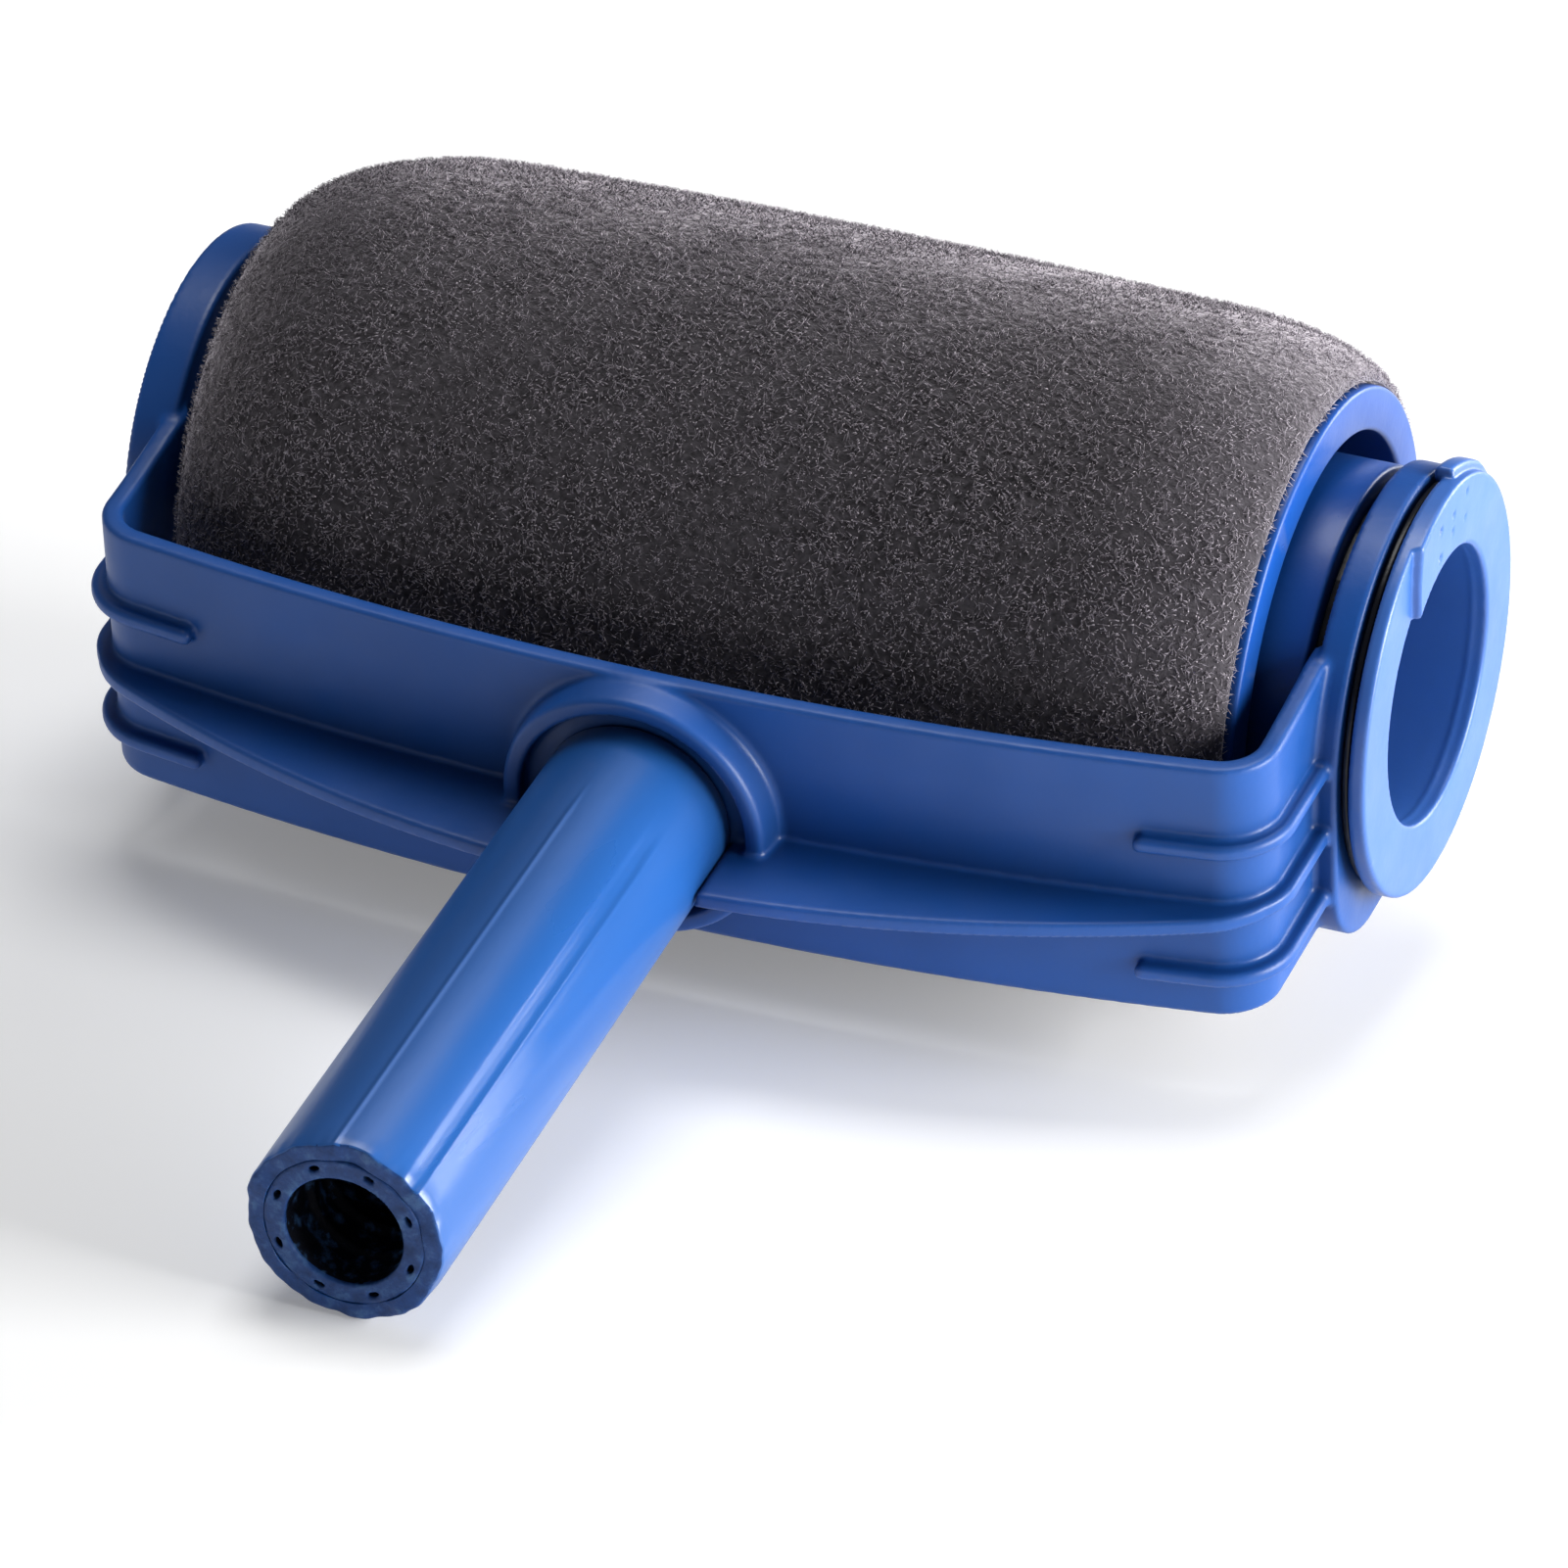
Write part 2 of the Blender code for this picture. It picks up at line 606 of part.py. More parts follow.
def filler_neck(material, parent):
    """The neck with its C-shaped flange, whose two ends meet in one slanted step."""
    bm = bmesh.new()
    sections = []
    groove_in, groove_out = NECK_GROOVE
    groove_r = NECK_R - NECK_GROOVE_DEPTH
    for i in range(ROUND + 1):
        turn = 360.0 * i / ROUND
        face = flange_face(turn)
        outline = [
            (NECK_INNER_X, NECK_BORE_R), (NECK_INNER_X, NECK_R), (groove_in, NECK_R), (groove_in, groove_r),
            (groove_out, groove_r), (groove_out, NECK_R), (FLANGE_BACK_X, NECK_R), (FLANGE_BACK_X, FLANGE_R),
            (face, FLANGE_R), (face, NECK_BORE_R),
        ]
        sections.append([bm.verts.new(flange_point(x, r, turn)) for x, r in outline])
    count = len(sections[0])
    top_out, top_in = sections[0][count - 2], sections[0][count - 1]
    low_out, low_in = sections[-1][count - 2], sections[-1][count - 1]
    for step, (one, two) in enumerate(zip(sections, sections[1:])):
        for k in range(count):
            m = (k + 1) % count
            corners = [one[k], one[m], two[m], two[k]]
            if step == 0 and k == count - 3:
                corners.insert(1, low_out)
            if step == 0 and k == count - 1:
                corners.insert(1, low_in)
            bm.faces.new(corners)
    bm.faces.new((top_in, top_out, low_out, low_in))
    for k in range(count - 2):
        bmesh.ops.pointmerge(bm, verts=(sections[0][k], sections[-1][k]), merge_co=sections[0][k].co)
    neck = solid("filler_neck", bm)
    combine(neck, flange_lug(), "UNION")
    return finish(neck, material, parent)


def foam_liner(material, parent):
    inner, outer = SHELL_R + GAP, PILE_BORE_R - GAP
    closed, fill = FOAM_END_X
    profile = [(closed, inner), (closed, outer), (fill, outer), (fill, inner)]
    return finish(turned("foam_liner", profile), material, parent)


def rounded_end(x, r, length):
    """The sleeve's outer line from its middle over a long rounded end to its edge at (x, r)."""
    start = x - length
    line = [(start / 2, SLEEVE_R - SLEEVE_BARREL * (start / 2) ** 2)]
    for i in range(7):
        a = math.radians(15.0 * i)
        at = start + length * math.sin(a)
        line.append((at, r + (SLEEVE_R - SLEEVE_BARREL * at**2 - r) * math.cos(a)))
    return line


def pile_sleeve(material, parent):
    """The flocked cover, which closes round one rim and wraps over the other."""
    closed_foam, fill_foam = FOAM_END_X
    seat_r = SHELL_R + GAP
    rim_x, foam_x = CLOSED_RIM_X + GAP, fill_foam + GAP
    fill_side = rounded_end(SLEEVE_FILL_X, SLEEVE_FILL_R, SLEEVE_FILL_ROUND)
    fill_side += [(SHELL_END_X, SLEEVE_FILL_R), (SHELL_END_X, seat_r), (foam_x, seat_r), (foam_x, PILE_BORE_R)]
    closed_side = rounded_end(SLEEVE_CLOSED_X, SLEEVE_CLOSED_R, SLEEVE_CLOSED_ROUND)
    closed_side += [
        (rim_x, SLEEVE_CLOSED_R), (rim_x, seat_r), (GAP - closed_foam, seat_r), (GAP - closed_foam, PILE_BORE_R),
    ]
    outline = [(0, SLEEVE_R)] + fill_side + [(-x, r) for x, r in reversed(closed_side)]
    return finish(turned("pile_sleeve", outline), material, parent)


# ---------------------------------------------------------------- the whole tool

def rest_pose(tool):
    """Tilt the tool until the handle's tip meets the floor that the sleeve rests on."""
    drop = HANDLE_R - HANDLE_Z
    along = HANDLE_END - HANDLE_EDGE
    tilt = math.asin(SLEEVE_R / math.hypot(along, drop)) - math.atan2(drop, along)
    top = HANDLE_R - HANDLE_EDGE + HANDLE_Z
    front = HANDLE_END * math.cos(tilt) + top * math.sin(tilt)
    tool.rotation_euler = (tilt, 0, 0)
    tool.location = (0, (front - SLEEVE_R) / 2 * MM, SLEEVE_R * MM)


def build():
    clear_scene()
    blue = plastic("frame_blue", (0.025, 0.09, 0.42), 0.3)
    drum_blue = plastic("drum_blue", (0.03, 0.11, 0.47), 0.28)
    tube_blue = plastic("tube_blue", (0.03, 0.12, 0.46), 0.2)
    insert_blue = plastic("insert_blue", (0.02, 0.05, 0.22), 0.45)
    black = plastic("bearing_black", (0.02, 0.022, 0.03), 0.35)
    rubber = plastic("seal_rubber", (0.015, 0.015, 0.016), 0.6)
    steel = plastic("screw_steel", (0.6, 0.6, 0.62), 0.35, 1.0)
    foam = plastic("liner_foam", (0.32, 0.31, 0.29), 0.95)
    pile = plastic("sleeve_pile", (0.07, 0.065, 0.068), 0.95)

    tool = empty("tool")
    spin = empty("drum_axis", tool)

    yoke(blue, tool)
    handle_tube(tube_blue, tool)
    pole_insert(insert_blue, tool)
    handle_screw(steel, tool)
    handle_screw_washer(steel, tool)
    neck_bush(black, tool)
    axle_stub(black, tool)

    drum_shell(drum_blue, spin)
    fill_end_cap(drum_blue, spin)
    closed_end_cap(drum_blue, spin)
    filler_neck(drum_blue, spin)
    finish(hoop("neck_seal", sum(NECK_GROOVE) / 2, NECK_R - 0.5, 0.65), rubber, spin)
    finish(hoop("fill_end_seal", SEAL_X, PLUG_R - 0.8, 0.75), rubber, spin)
    finish(hoop("closed_end_seal", -SEAL_X, PLUG_R - 0.8, 0.75), rubber, spin)
    axle_bush(black, spin)
    washer_inner, washer_outer = HUB_END_X + GAP, RING_IN_X - GAP
    thrust_washer("fill_end_washer", washer_inner, washer_outer, NECK_R + GAP, WASHER_R, black, spin)
    left_in, left_out = BOSS_END_X - GAP, -DISC_IN_X + GAP
    thrust_washer("closed_end_washer", left_in, left_out, STUB_R + GAP, BOSS_R - 1, black, spin)
    foam_liner(foam, spin)
    pile_sleeve(pile, spin)

    rest_pose(tool)
    bpy.context.view_layer.update()


build()
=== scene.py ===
"""Looks of the refillable paint roller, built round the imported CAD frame.

Shapes are made in the tool's own frame in millimetres: X is the drum's axis with +X towards the filler
neck, the handle points along -Y, and +Z is up. `TOOL` carries them to the row frame, where the tool lies
tilted on the floor. Moulded pieces with fillets are signed distances meshed by `moulding`; pieces that are
round about an axis are outlines spun by `turned`.
"""

import json
import math

import bpy
import numpy as np
from mathutils import Matrix, Vector


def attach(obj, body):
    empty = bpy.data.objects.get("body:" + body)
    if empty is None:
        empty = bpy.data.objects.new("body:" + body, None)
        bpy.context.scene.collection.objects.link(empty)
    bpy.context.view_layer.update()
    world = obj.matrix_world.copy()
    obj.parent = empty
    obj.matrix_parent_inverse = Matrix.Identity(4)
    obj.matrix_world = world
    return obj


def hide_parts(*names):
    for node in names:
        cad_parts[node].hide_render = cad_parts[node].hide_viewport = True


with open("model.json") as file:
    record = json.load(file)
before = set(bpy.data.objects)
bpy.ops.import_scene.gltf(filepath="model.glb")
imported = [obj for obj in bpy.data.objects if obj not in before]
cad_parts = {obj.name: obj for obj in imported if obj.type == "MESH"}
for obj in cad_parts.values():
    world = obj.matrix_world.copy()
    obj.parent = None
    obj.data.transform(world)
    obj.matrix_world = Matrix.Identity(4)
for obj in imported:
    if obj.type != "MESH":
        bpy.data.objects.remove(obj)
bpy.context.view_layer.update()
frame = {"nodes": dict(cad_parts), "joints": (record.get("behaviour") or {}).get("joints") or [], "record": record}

# The drum's axis and the handle's direction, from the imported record
SPIN = Vector(frame["joints"][0]["pos_m"])
HANDLE_AXIS = next(m["axis"] for m in frame["record"]["mounts"] if m["name"] == "handle_end")
TILT = math.asin(-HANDLE_AXIS[2])
TOOL = Matrix.Translation(SPIN) @ Matrix.Rotation(TILT, 4, "X") @ Matrix.Scale(0.001, 4)

# Drum and its ends, as in the CAD
GAP = 0.3
RIM_X = 75.0
RIM_R = 36.9
CLOSED_RIM_X = 73.0
RECESS_R = 30.9
RECESS_FLOOR_X = 56.0
CLOSED_FLOOR_X = 65.0
CLOSED_WEB_X = (61.0, 64.0)
CLOSED_SKIRT = 4.5
PLUG_R = 32.7
PLUG_END_X = 51.0
SEAL_GROOVE_X = (52.4, 55.0)
SEAL_GROOVE_DEPTH = 1.7
SHELL_R = 35.0
SHELL_END_X = 70.6
HUB_R = 27.3
HUB_END_X = 80.1
NECK_R = 22.0
NECK_BORE_R = 18.9
NECK_INNER_X = 58.0
NECK_GROOVE_X = (64.0, 66.0)
NECK_GROOVE_DEPTH = 1.3
FLANGE_R = 28.6
FLANGE_X = 90.8
FLANGE_BACK_X = 88.1
FLANGE_HIGH = 0.5
FLANGE_LOW = 0.7
FLANGE_FLAT_DEG = (80.0, 220.0)
FLANGE_STEP_DEG = 118.0
FLANGE_STEP_SLANT = 1.2         # degrees a millimetre outwards
FLANGE_STEP_RUN_DEG = 1.2
LUG_R = 29.9
LUG_DEG = (28.0, 74.0)
LUG_FADE_DEG = 22.0
LUG_X = (87.0, 89.7)
# Small dimples in the flange's thick end, as (radius, degrees)
DIMPLE_R = 0.62
DIMPLES = ((26.6, 69.0), (24.8, 80.0), (22.9, 67.0), (25.3, 92.0), (22.4, 80.0), (21.2, 93.0))

# Sleeve
SLEEVE_R = 44.8
SLEEVE_BARREL = 0.00025         # how fast the radius falls with the square of x
SLEEVE_FILL_X = 74.5
SLEEVE_FILL_R = 37.4
SLEEVE_FILL_ROUND = 20.0
SLEEVE_CLOSED_X = 77.4
SLEEVE_CLOSED_R = 31.5
SLEEVE_CLOSED_ROUND = 30.0
PILE_BORE_R = 40.3
FOAM_END_X = (-64.0, 68.0)
PILE_DEPTH = 0.7                # how far the fibres stand out of the backing
FIBRE_COUNT = 130000
FIBRE_LONGEST = 1.5
FIBRE_CORNERS = (0.5, 0.5 + 2.094, 0.5 + 4.189)     # radians, a third of a turn apart

# Yoke
WALL = 2.8
YOKE_SHIFT = 0.6
FRONT_Y = 54.5
BOW = 6.0
SIDE_X = 82.8
CORNER_R = 8.0
YOKE_TOP = 16.0
YOKE_BOTTOM = -23.3
CREST_RISE = 1.5
CREST_TIP_Y = -24.0
WALL_END_Y = -16.0
RING_IN_X = 82.0
RING_OUT_X = 86.6
DISC_IN_X = 80.4
RING_R = 28.5
RING_OVERLAP = 2.2
BUSH_FLANGE_R = 27.4
RING_BORE_R = 24.3
RING_HEEL_R = 14.0
RIB_OUT = 2.2
RIB_THICK = 2.2
RIB_TOPS = (5.2, -15.2)
SHELF_TOP = -5.0
SHELF_DEPTH = 15.2
RIB_END_X = 66.5
BOW_R = ((SIDE_X - CORNER_R) ** 2 + BOW**2) / (2 * BOW)
BOW_CENTRE_Y = BOW_R - FRONT_Y
CORNER_X = SIDE_X - CORNER_R
CORNER_Y = BOW_CENTRE_Y - math.sqrt((BOW_R - CORNER_R) ** 2 - CORNER_X**2)

# Handle, with distances along it from the drum's axis
HANDLE_X = 0.45
HANDLE_Z = -3.0
HANDLE_R = 13.35
HANDLE_BASE_R = 13.1
HANDLE_WALL = 2.6
HANDLE_START = 57.0
HANDLE_END = 151.0
COLLAR_R = 18.3
COLLAR_WALL = 2.4
COLLAR_SPREAD = 0.12
COLLAR_FACE = 59.0
SEAT_ROOT = FRONT_Y - 1.6
SPIGOT_END = 84.0
SPIGOT_R = HANDLE_R - HANDLE_WALL - GAP
INSERT_START = 88.0
SOCKET_R = 7.9
SCREW_SEAT = FRONT_Y - WALL + 3.0
SCREW_HEAD_ROOM_R = 4.8
SCREW_HOLE_R = 2.0

# Axle at the closed end
STUB_HEAD_X = -(FLANGE_X + FLANGE_HIGH)
STUB_R = 6.0
STUB_HEAD_R = 12.0
STUB_INNER_X = -66.0
BUSH_WALL = 2.4
BOSS_R = 12.0
BOSS_END_X = -78.4
AXIS_R = 0.02                   # a hair off the axis, so that no face there shrinks to a line


# ---------------------------------------------------------------- making meshes

def piece(name, points, faces, material, body, replaces=(), along_handle=False):
    """A smooth-shaded mesh from points in tool millimetres, riding on a CAD body."""
    mesh = bpy.data.meshes.new(name)
    mesh.from_pydata(np.asarray(points, float).tolist(), [], faces)
    if along_handle:
        mesh.transform(Matrix.Translation((HANDLE_X, 0, HANDLE_Z)) @ Matrix.Rotation(-math.pi / 2, 4, "Z"))
    mesh.transform(TOOL)
    mesh.update()
    mesh.shade_smooth()
    mesh.materials.append(material)
    thing = bpy.data.objects.new(name, mesh)
    bpy.context.scene.collection.objects.link(thing)
    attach(thing, body)
    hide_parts(*replaces)
    return thing


def softened(outline, radii, steps=3):
    """Round every corner of a closed outline, by one radius or by a tuple with one for each corner."""
    if not isinstance(radii, tuple):
        radii = (radii,) * len(outline)
    soft = []
    for k, (corner, radius) in enumerate(zip(outline, radii)):
        tip = Vector(corner)
        back = Vector(outline[k - 1]) - tip
        ahead = Vector(outline[(k + 1) % len(outline)]) - tip
        start = tip + back.normalized() * min(radius, 0.45 * back.length)
        end = tip + ahead.normalized() * min(radius, 0.45 * ahead.length)
        for i in range(steps + 1):
            t = i / steps
            soft.append(start.lerp(tip, t).lerp(tip.lerp(end, t), t)[:])
    return soft


def divided(outline, longest):
    """The same closed outline with its long stretches divided."""
    points = []
    for a, b in zip(outline, outline[1:] + outline[:1]):
        parts = max(1, math.ceil(math.dist(a, b) / longest))
        points += [Vector(a).lerp(Vector(b), i / parts)[:] for i in range(parts)]
    return points


def spun(outline, steps, shape=None):
    """Points and faces of a closed (x, r) outline spun about X. shape(x, r, angle) may move the points."""
    x, r = np.array(outline, float).T
    angle = np.arange(steps) * 2 * math.pi / steps
    x, r, angle = (a.ravel() for a in np.broadcast_arrays(x[None, :], r[None, :], angle[:, None]))
    if shape:
        x, r = shape(x, r, angle)
    points = np.stack([x, r * np.cos(angle), r * np.sin(angle)], 1)
    count = len(outline)
    faces = []
    for i in range(steps):
        here, there = i * count, (i + 1) % steps * count
        for k in range(count):
            m = (k + 1) % count
            faces.append((here + k, there + k, there + m, here + m))
    return points, faces


def facing_out(points, faces):
    """Faces of a closed mesh, turned round if they face in."""
    quads = np.array(faces)
    a, b, c = (points[quads[:, k]] for k in range(3))
    d = points[quads[:, -1]]
    volume = np.einsum("ij,ij->i", a, np.cross(b, c)).sum()
    volume += np.einsum("ij,ij->i", a, np.cross(c, d)).sum()
    return quads[:, ::-1].tolist() if volume < 0 else quads.tolist()


def turned(name, outline, material, body, replaces=(), steps=192, shape=None, along_handle=False):
    points, faces = spun(outline, steps, shape)
    return piece(name, points, facing_out(points, faces), material, body, replaces, along_handle)


def union(a, b, fillet):
    """Join two distances with a round fillet between them."""
    bulge = np.hypot(np.maximum(fillet - a, 0), np.maximum(fillet - b, 0))
    return np.maximum(fillet, np.minimum(a, b)) - bulge


def both(a, b, edge):
    """What is inside two distances at once, with its edge rounded."""
    bulge = np.hypot(np.maximum(edge + a, 0), np.maximum(edge + b, 0))
    return np.minimum(-edge, np.maximum(a, b)) + bulge


def slab(value, low, high):
    return np.maximum(low - value, value - high)


def steepness(distance, p, reach=0.02):
    """The gradient of a distance at the rows of p."""
    parts = []
    for axis in range(3):
        shift = np.zeros(3)
        shift[axis] = reach
        parts.append((distance(*(p + shift).T) - distance(*(p - shift).T)) / (2 * reach))
    return np.stack(parts, 1)


def surface_net(distance, low, high, pitch):
    """Mesh where a signed distance is zero: one point a crossed cell, then moved exactly onto the surface."""
    x, y, z = (np.arange(a, b + pitch, pitch) for a, b in zip(low, high))
    values = np.stack([distance(np.float64(at), y[:, None], z[None, :]) for at in x])
    inside = values < 0
    nx, ny, nz = inside.shape
    corners = [(i, j, k) for i in (0, 1) for j in (0, 1) for k in (0, 1)]
    total = sum(inside[i:nx - 1 + i, j:ny - 1 + j, k:nz - 1 + k].astype(np.int8) for i, j, k in corners)
    crossed = (total > 0) & (total < 8)
    number = np.full(crossed.shape, -1, np.int64)
    number[crossed] = np.arange(crossed.sum())
    cells = np.argwhere(crossed)
    at_corner = {c: values[tuple((cells + c).T)] for c in corners}
    centre = np.zeros((len(cells), 3))
    crossings = np.zeros(len(cells))
    for start in corners:
        for axis in range(3):
            if start[axis]:
                continue
            end = tuple(v + (a == axis) for a, v in enumerate(start))
            a, b = at_corner[start], at_corner[end]
            hit = (a < 0) != (b < 0)
            share = np.where(hit, a / np.where(hit, a - b, 1), 0)
            spot = np.array(start, float) + np.eye(3)[axis] * share[:, None]
            centre += spot * hit[:, None]
            crossings += hit
    points = np.array([x[0], y[0], z[0]]) + (cells + centre / crossings[:, None]) * pitch
    for _ in range(3):
        slope = steepness(distance, points)
        move = distance(*points.T) / np.maximum((slope**2).sum(1), 0.25)
        points -= np.clip(move, -pitch, pitch)[:, None] * slope
    quads = []
    for axis in range(3):
        ahead = np.moveaxis(inside, axis, 0)
        cell = np.moveaxis(number, axis, 0)
        change = np.argwhere(ahead[:-1, 1:-1, 1:-1] != ahead[1:, 1:-1, 1:-1])
        i, j, k = change.T
        around = np.stack([cell[i, j, k], cell[i, j + 1, k], cell[i, j + 1, k + 1], cell[i, j, k + 1]], 1)
        leaving = ahead[i, j + 1, k + 1] if axis != 1 else ~ahead[i, j + 1, k + 1]
        quads.append(np.where(leaving[:, None], around, around[:, ::-1]))
    return points, np.concatenate(quads).tolist()


def moulding(name, distance, low, high, pitch, material, body, replaces=()):
    points, faces = surface_net(distance, low, high, pitch)
    return piece(name, points, faces, material, body, replaces)


# ---------------------------------------------------------------- materials

def nodes_of(name):
    """A new node material: its node tree, its Principled shader and the object-space coordinate."""
    material = bpy.data.materials.new(name)
    material.use_nodes = True
    tree = material.node_tree
    shader = tree.nodes["Principled BSDF"]
    where = tree.nodes.new("ShaderNodeTexCoord").outputs["Object"]
    return material, tree, shader, where


def noise(tree, where, scale, detail=3.0, stretch=(1, 1, 1), roughness=0.5):
    """A noise value from 0 to 1 in object space. scale is in cycles a metre."""
    mapping = tree.nodes.new("ShaderNodeMapping")
    mapping.inputs["Scale"].default_value = stretch
    texture = tree.nodes.new("ShaderNodeTexNoise")
    texture.inputs["Scale"].default_value = scale
    texture.inputs["Detail"].default_value = detail
    texture.inputs["Roughness"].default_value = roughness
    tree.links.new(where, mapping.inputs["Vector"])
    tree.links.new(mapping.outputs["Vector"], texture.inputs["Vector"])
    return texture.outputs["Fac"]


def ramp(tree, value, stops):
    """A colour ramp through (place, (r, g, b)) stops."""
    node = tree.nodes.new("ShaderNodeValToRGB")
    elements = node.color_ramp.elements
    while len(elements) < len(stops):
        elements.new(0.5)
    for element, (place, colour) in zip(elements, stops):
        element.position = place
        element.color = (*colour, 1)
    tree.links.new(value, node.inputs["Fac"])
    return node.outputs["Color"]


def to_range(tree, value, low, high, source=(0.3, 0.7)):
    node = tree.nodes.new("ShaderNodeMapRange")
    node.inputs["From Min"].default_value = source[0]
    node.inputs["From Max"].default_value = source[1]
    node.inputs["To Min"].default_value = low
    node.inputs["To Max"].default_value = high
    tree.links.new(value, node.inputs["Value"])
    return node.outputs["Result"]


def mixed(tree, amount, a, b):
    """A colour mix. a and b are sockets or (r, g, b)."""
    node = tree.nodes.new("ShaderNodeMix")
    node.data_type = "RGBA"
    tree.links.new(amount, node.inputs["Factor"])
    for socket, value in ((node.inputs["A"], a), (node.inputs["B"], b)):
        if isinstance(value, tuple):
            socket.default_value = (*value, 1)
        else:
            tree.links.new(value, socket)
    return node.outputs["Result"]


def bump(tree, shader, height, strength, distance):
    node = tree.nodes.new("ShaderNodeBump")
    node.inputs["Strength"].default_value = strength
    node.inputs["Distance"].default_value = distance
    tree.links.new(height, node.inputs["Height"])
    tree.links.new(node.outputs["Normal"], shader.inputs["Normal"])


def tinted(colour, factor):
    return tuple(c * factor for c in colour)


def painted_shade_mask(tree, reach, power):
    """Ambient occlusion for painted shade: 1 where a surface lies open, falling to 0 deep in a hollow. reach is in
    metres.
    """
    node = tree.nodes.new("ShaderNodeAmbientOcclusion")
    node.samples = 6
    node.inputs["Distance"].default_value = reach
    sharper = tree.nodes.new("ShaderNodeMath")
    sharper.operation = "POWER"
    sharper.inputs[1].default_value = power
    tree.links.new(node.outputs["AO"], sharper.inputs[0])
    return sharper.outputs["Value"]


def plastic(name, colour, roughness, grain=0.12, worn=0.25, stretch=(1, 1, 1), shine=0.65):
    """Moulded plastic: slow colour drift, uneven gloss, fine grain, paler worn edges and painted shade darkening
    its hollows.
    """
    material, tree, shader, where = nodes_of(name)
    slow = noise(tree, where, 35, stretch=stretch)
    drift = ramp(tree, slow, [(0.3, tinted(colour, 0.9)), (0.7, tinted(colour, 1.1))])
    edge = to_range(tree, tree.nodes.new("ShaderNodeNewGeometry").outputs["Pointiness"], 0, worn, (0.52, 0.6))
    pale = tuple(0.7 * c + 0.3 * 0.45 for c in colour)
    unshaded_colour = mixed(tree, edge, drift, pale)
    # Painted shade: deep in hollows the colour falls towards 0.35 of itself, by ambient occlusion.
    hollow = tinted(colour, 0.35)
    tree.links.new(mixed(tree, painted_shade_mask(tree, 0.014, 1.4), hollow, unshaded_colour), shader.inputs["Base Color"])
    gloss = noise(tree, where, 120, 4, stretch)
    tree.links.new(to_range(tree, gloss, roughness * 0.85, roughness * 1.2), shader.inputs["Roughness"])
    shader.inputs["Specular IOR Level"].default_value = shine
    bump(tree, shader, noise(tree, where, 900, 4, stretch), grain, 0.0002)
    return material


def cut_plastic(name, colour):
    """The sawn end of a tube: dull, mottled and whitened where the plastic was torn."""
    material, tree, shader, where = nodes_of(name)
    mottle = noise(tree, where, 420, 5, roughness=0.65)
    torn = (0.05, 0.13, 0.3)
    mottled = ramp(tree, mottle, [(0.3, tinted(colour, 0.6)), (0.52, colour), (0.72, torn)])
    tree.links.new(mottled, shader.inputs["Base Color"])
    tree.links.new(to_range(tree, mottle, 0.55, 0.35), shader.inputs["Roughness"])
    shader.inputs["Specular IOR Level"].default_value = 0.25
    bump(tree, shader, mottle, 0.5, 0.0006)
    return material


def flock(name, dark, light):
    """Short nylon pile: dark and light flecks with a soft sheen, and a painted highlight making it paler towards
    the filler end.
    """
    material, tree, shader, where = nodes_of(name)
    fleck = noise(tree, where, 950, 2, roughness=0.6)
    patch = noise(tree, where, 60, 3)
    colour = ramp(tree, fleck, [(0.36, dark), (0.5, tinted(light, 0.55)), (0.66, light)])
    even = mixed(tree, to_range(tree, patch, 0.0, 0.35), colour, tinted(light, 0.5))
    split = tree.nodes.new("ShaderNodeSeparateXYZ")
    tree.links.new(where, split.inputs["Vector"])
    # Painted highlight: the pile grows paler towards +X, standing in for the light on the filler end.
    painted_light_at_end = to_range(tree, split.outputs["X"], 0.0, 0.6, (0.05, 0.074))
    tree.links.new(mixed(tree, painted_light_at_end, even, tinted(light, 1.6)), shader.inputs["Base Color"])
    shader.inputs["Roughness"].default_value = 0.85
    shader.inputs["Specular IOR Level"].default_value = 0.25
    shader.inputs["Sheen Weight"].default_value = 1.0
    shader.inputs["Sheen Roughness"].default_value = 0.45
    shader.inputs["Sheen Tint"].default_value = (1.0, 0.92, 1.0, 1)
    bump(tree, shader, fleck, 0.6, 0.0006)
    return material


def foam(name, colour):
    material, tree, shader, where = nodes_of(name)
    cells = tree.nodes.new("ShaderNodeTexVoronoi")
    cells.inputs["Scale"].default_value = 900
    tree.links.new(where, cells.inputs["Vector"])
    depth = cells.outputs["Distance"]
    shaded = ramp(tree, depth, [(0.1, tinted(colour, 0.35)), (0.5, colour)])
    tree.links.new(shaded, shader.inputs["Base Color"])
    shader.inputs["Roughness"].default_value = 0.95
    bump(tree, shader, depth, 0.7, 0.0008)
    return material


def zinc(name):
    material, tree, shader, where = nodes_of(name)
    brushed = noise(tree, where, 700, 4, (1, 0.05, 1))
    colour = ramp(tree, brushed, [(0.3, (0.5, 0.5, 0.52)), (0.7, (0.72, 0.72, 0.74))])
    tree.links.new(colour, shader.inputs["Base Color"])
    tree.links.new(to_range(tree, brushed, 0.25, 0.42), shader.inputs["Roughness"])
    shader.inputs["Metallic"].default_value = 1.0
    bump(tree, shader, brushed, 0.1, 0.0002)
    return material


frame_blue = plastic("frame_blue", (0.008, 0.082, 0.35), 0.4, shine=0.45)
drum_blue = plastic("drum_blue", (0.008, 0.085, 0.4), 0.32, shine=0.4)
neck_blue = plastic("neck_blue", (0.04, 0.14, 0.47), 0.34)
handle_blue = plastic("handle_blue", (0.015, 0.105, 0.38), 0.3, 0.1, 0.2, (1, 0.08, 1), shine=0.7)
socket_blue = cut_plastic("socket_blue", (0.014, 0.052, 0.19))
cut_blue = cut_plastic("cut_blue", (0.014, 0.056, 0.21))
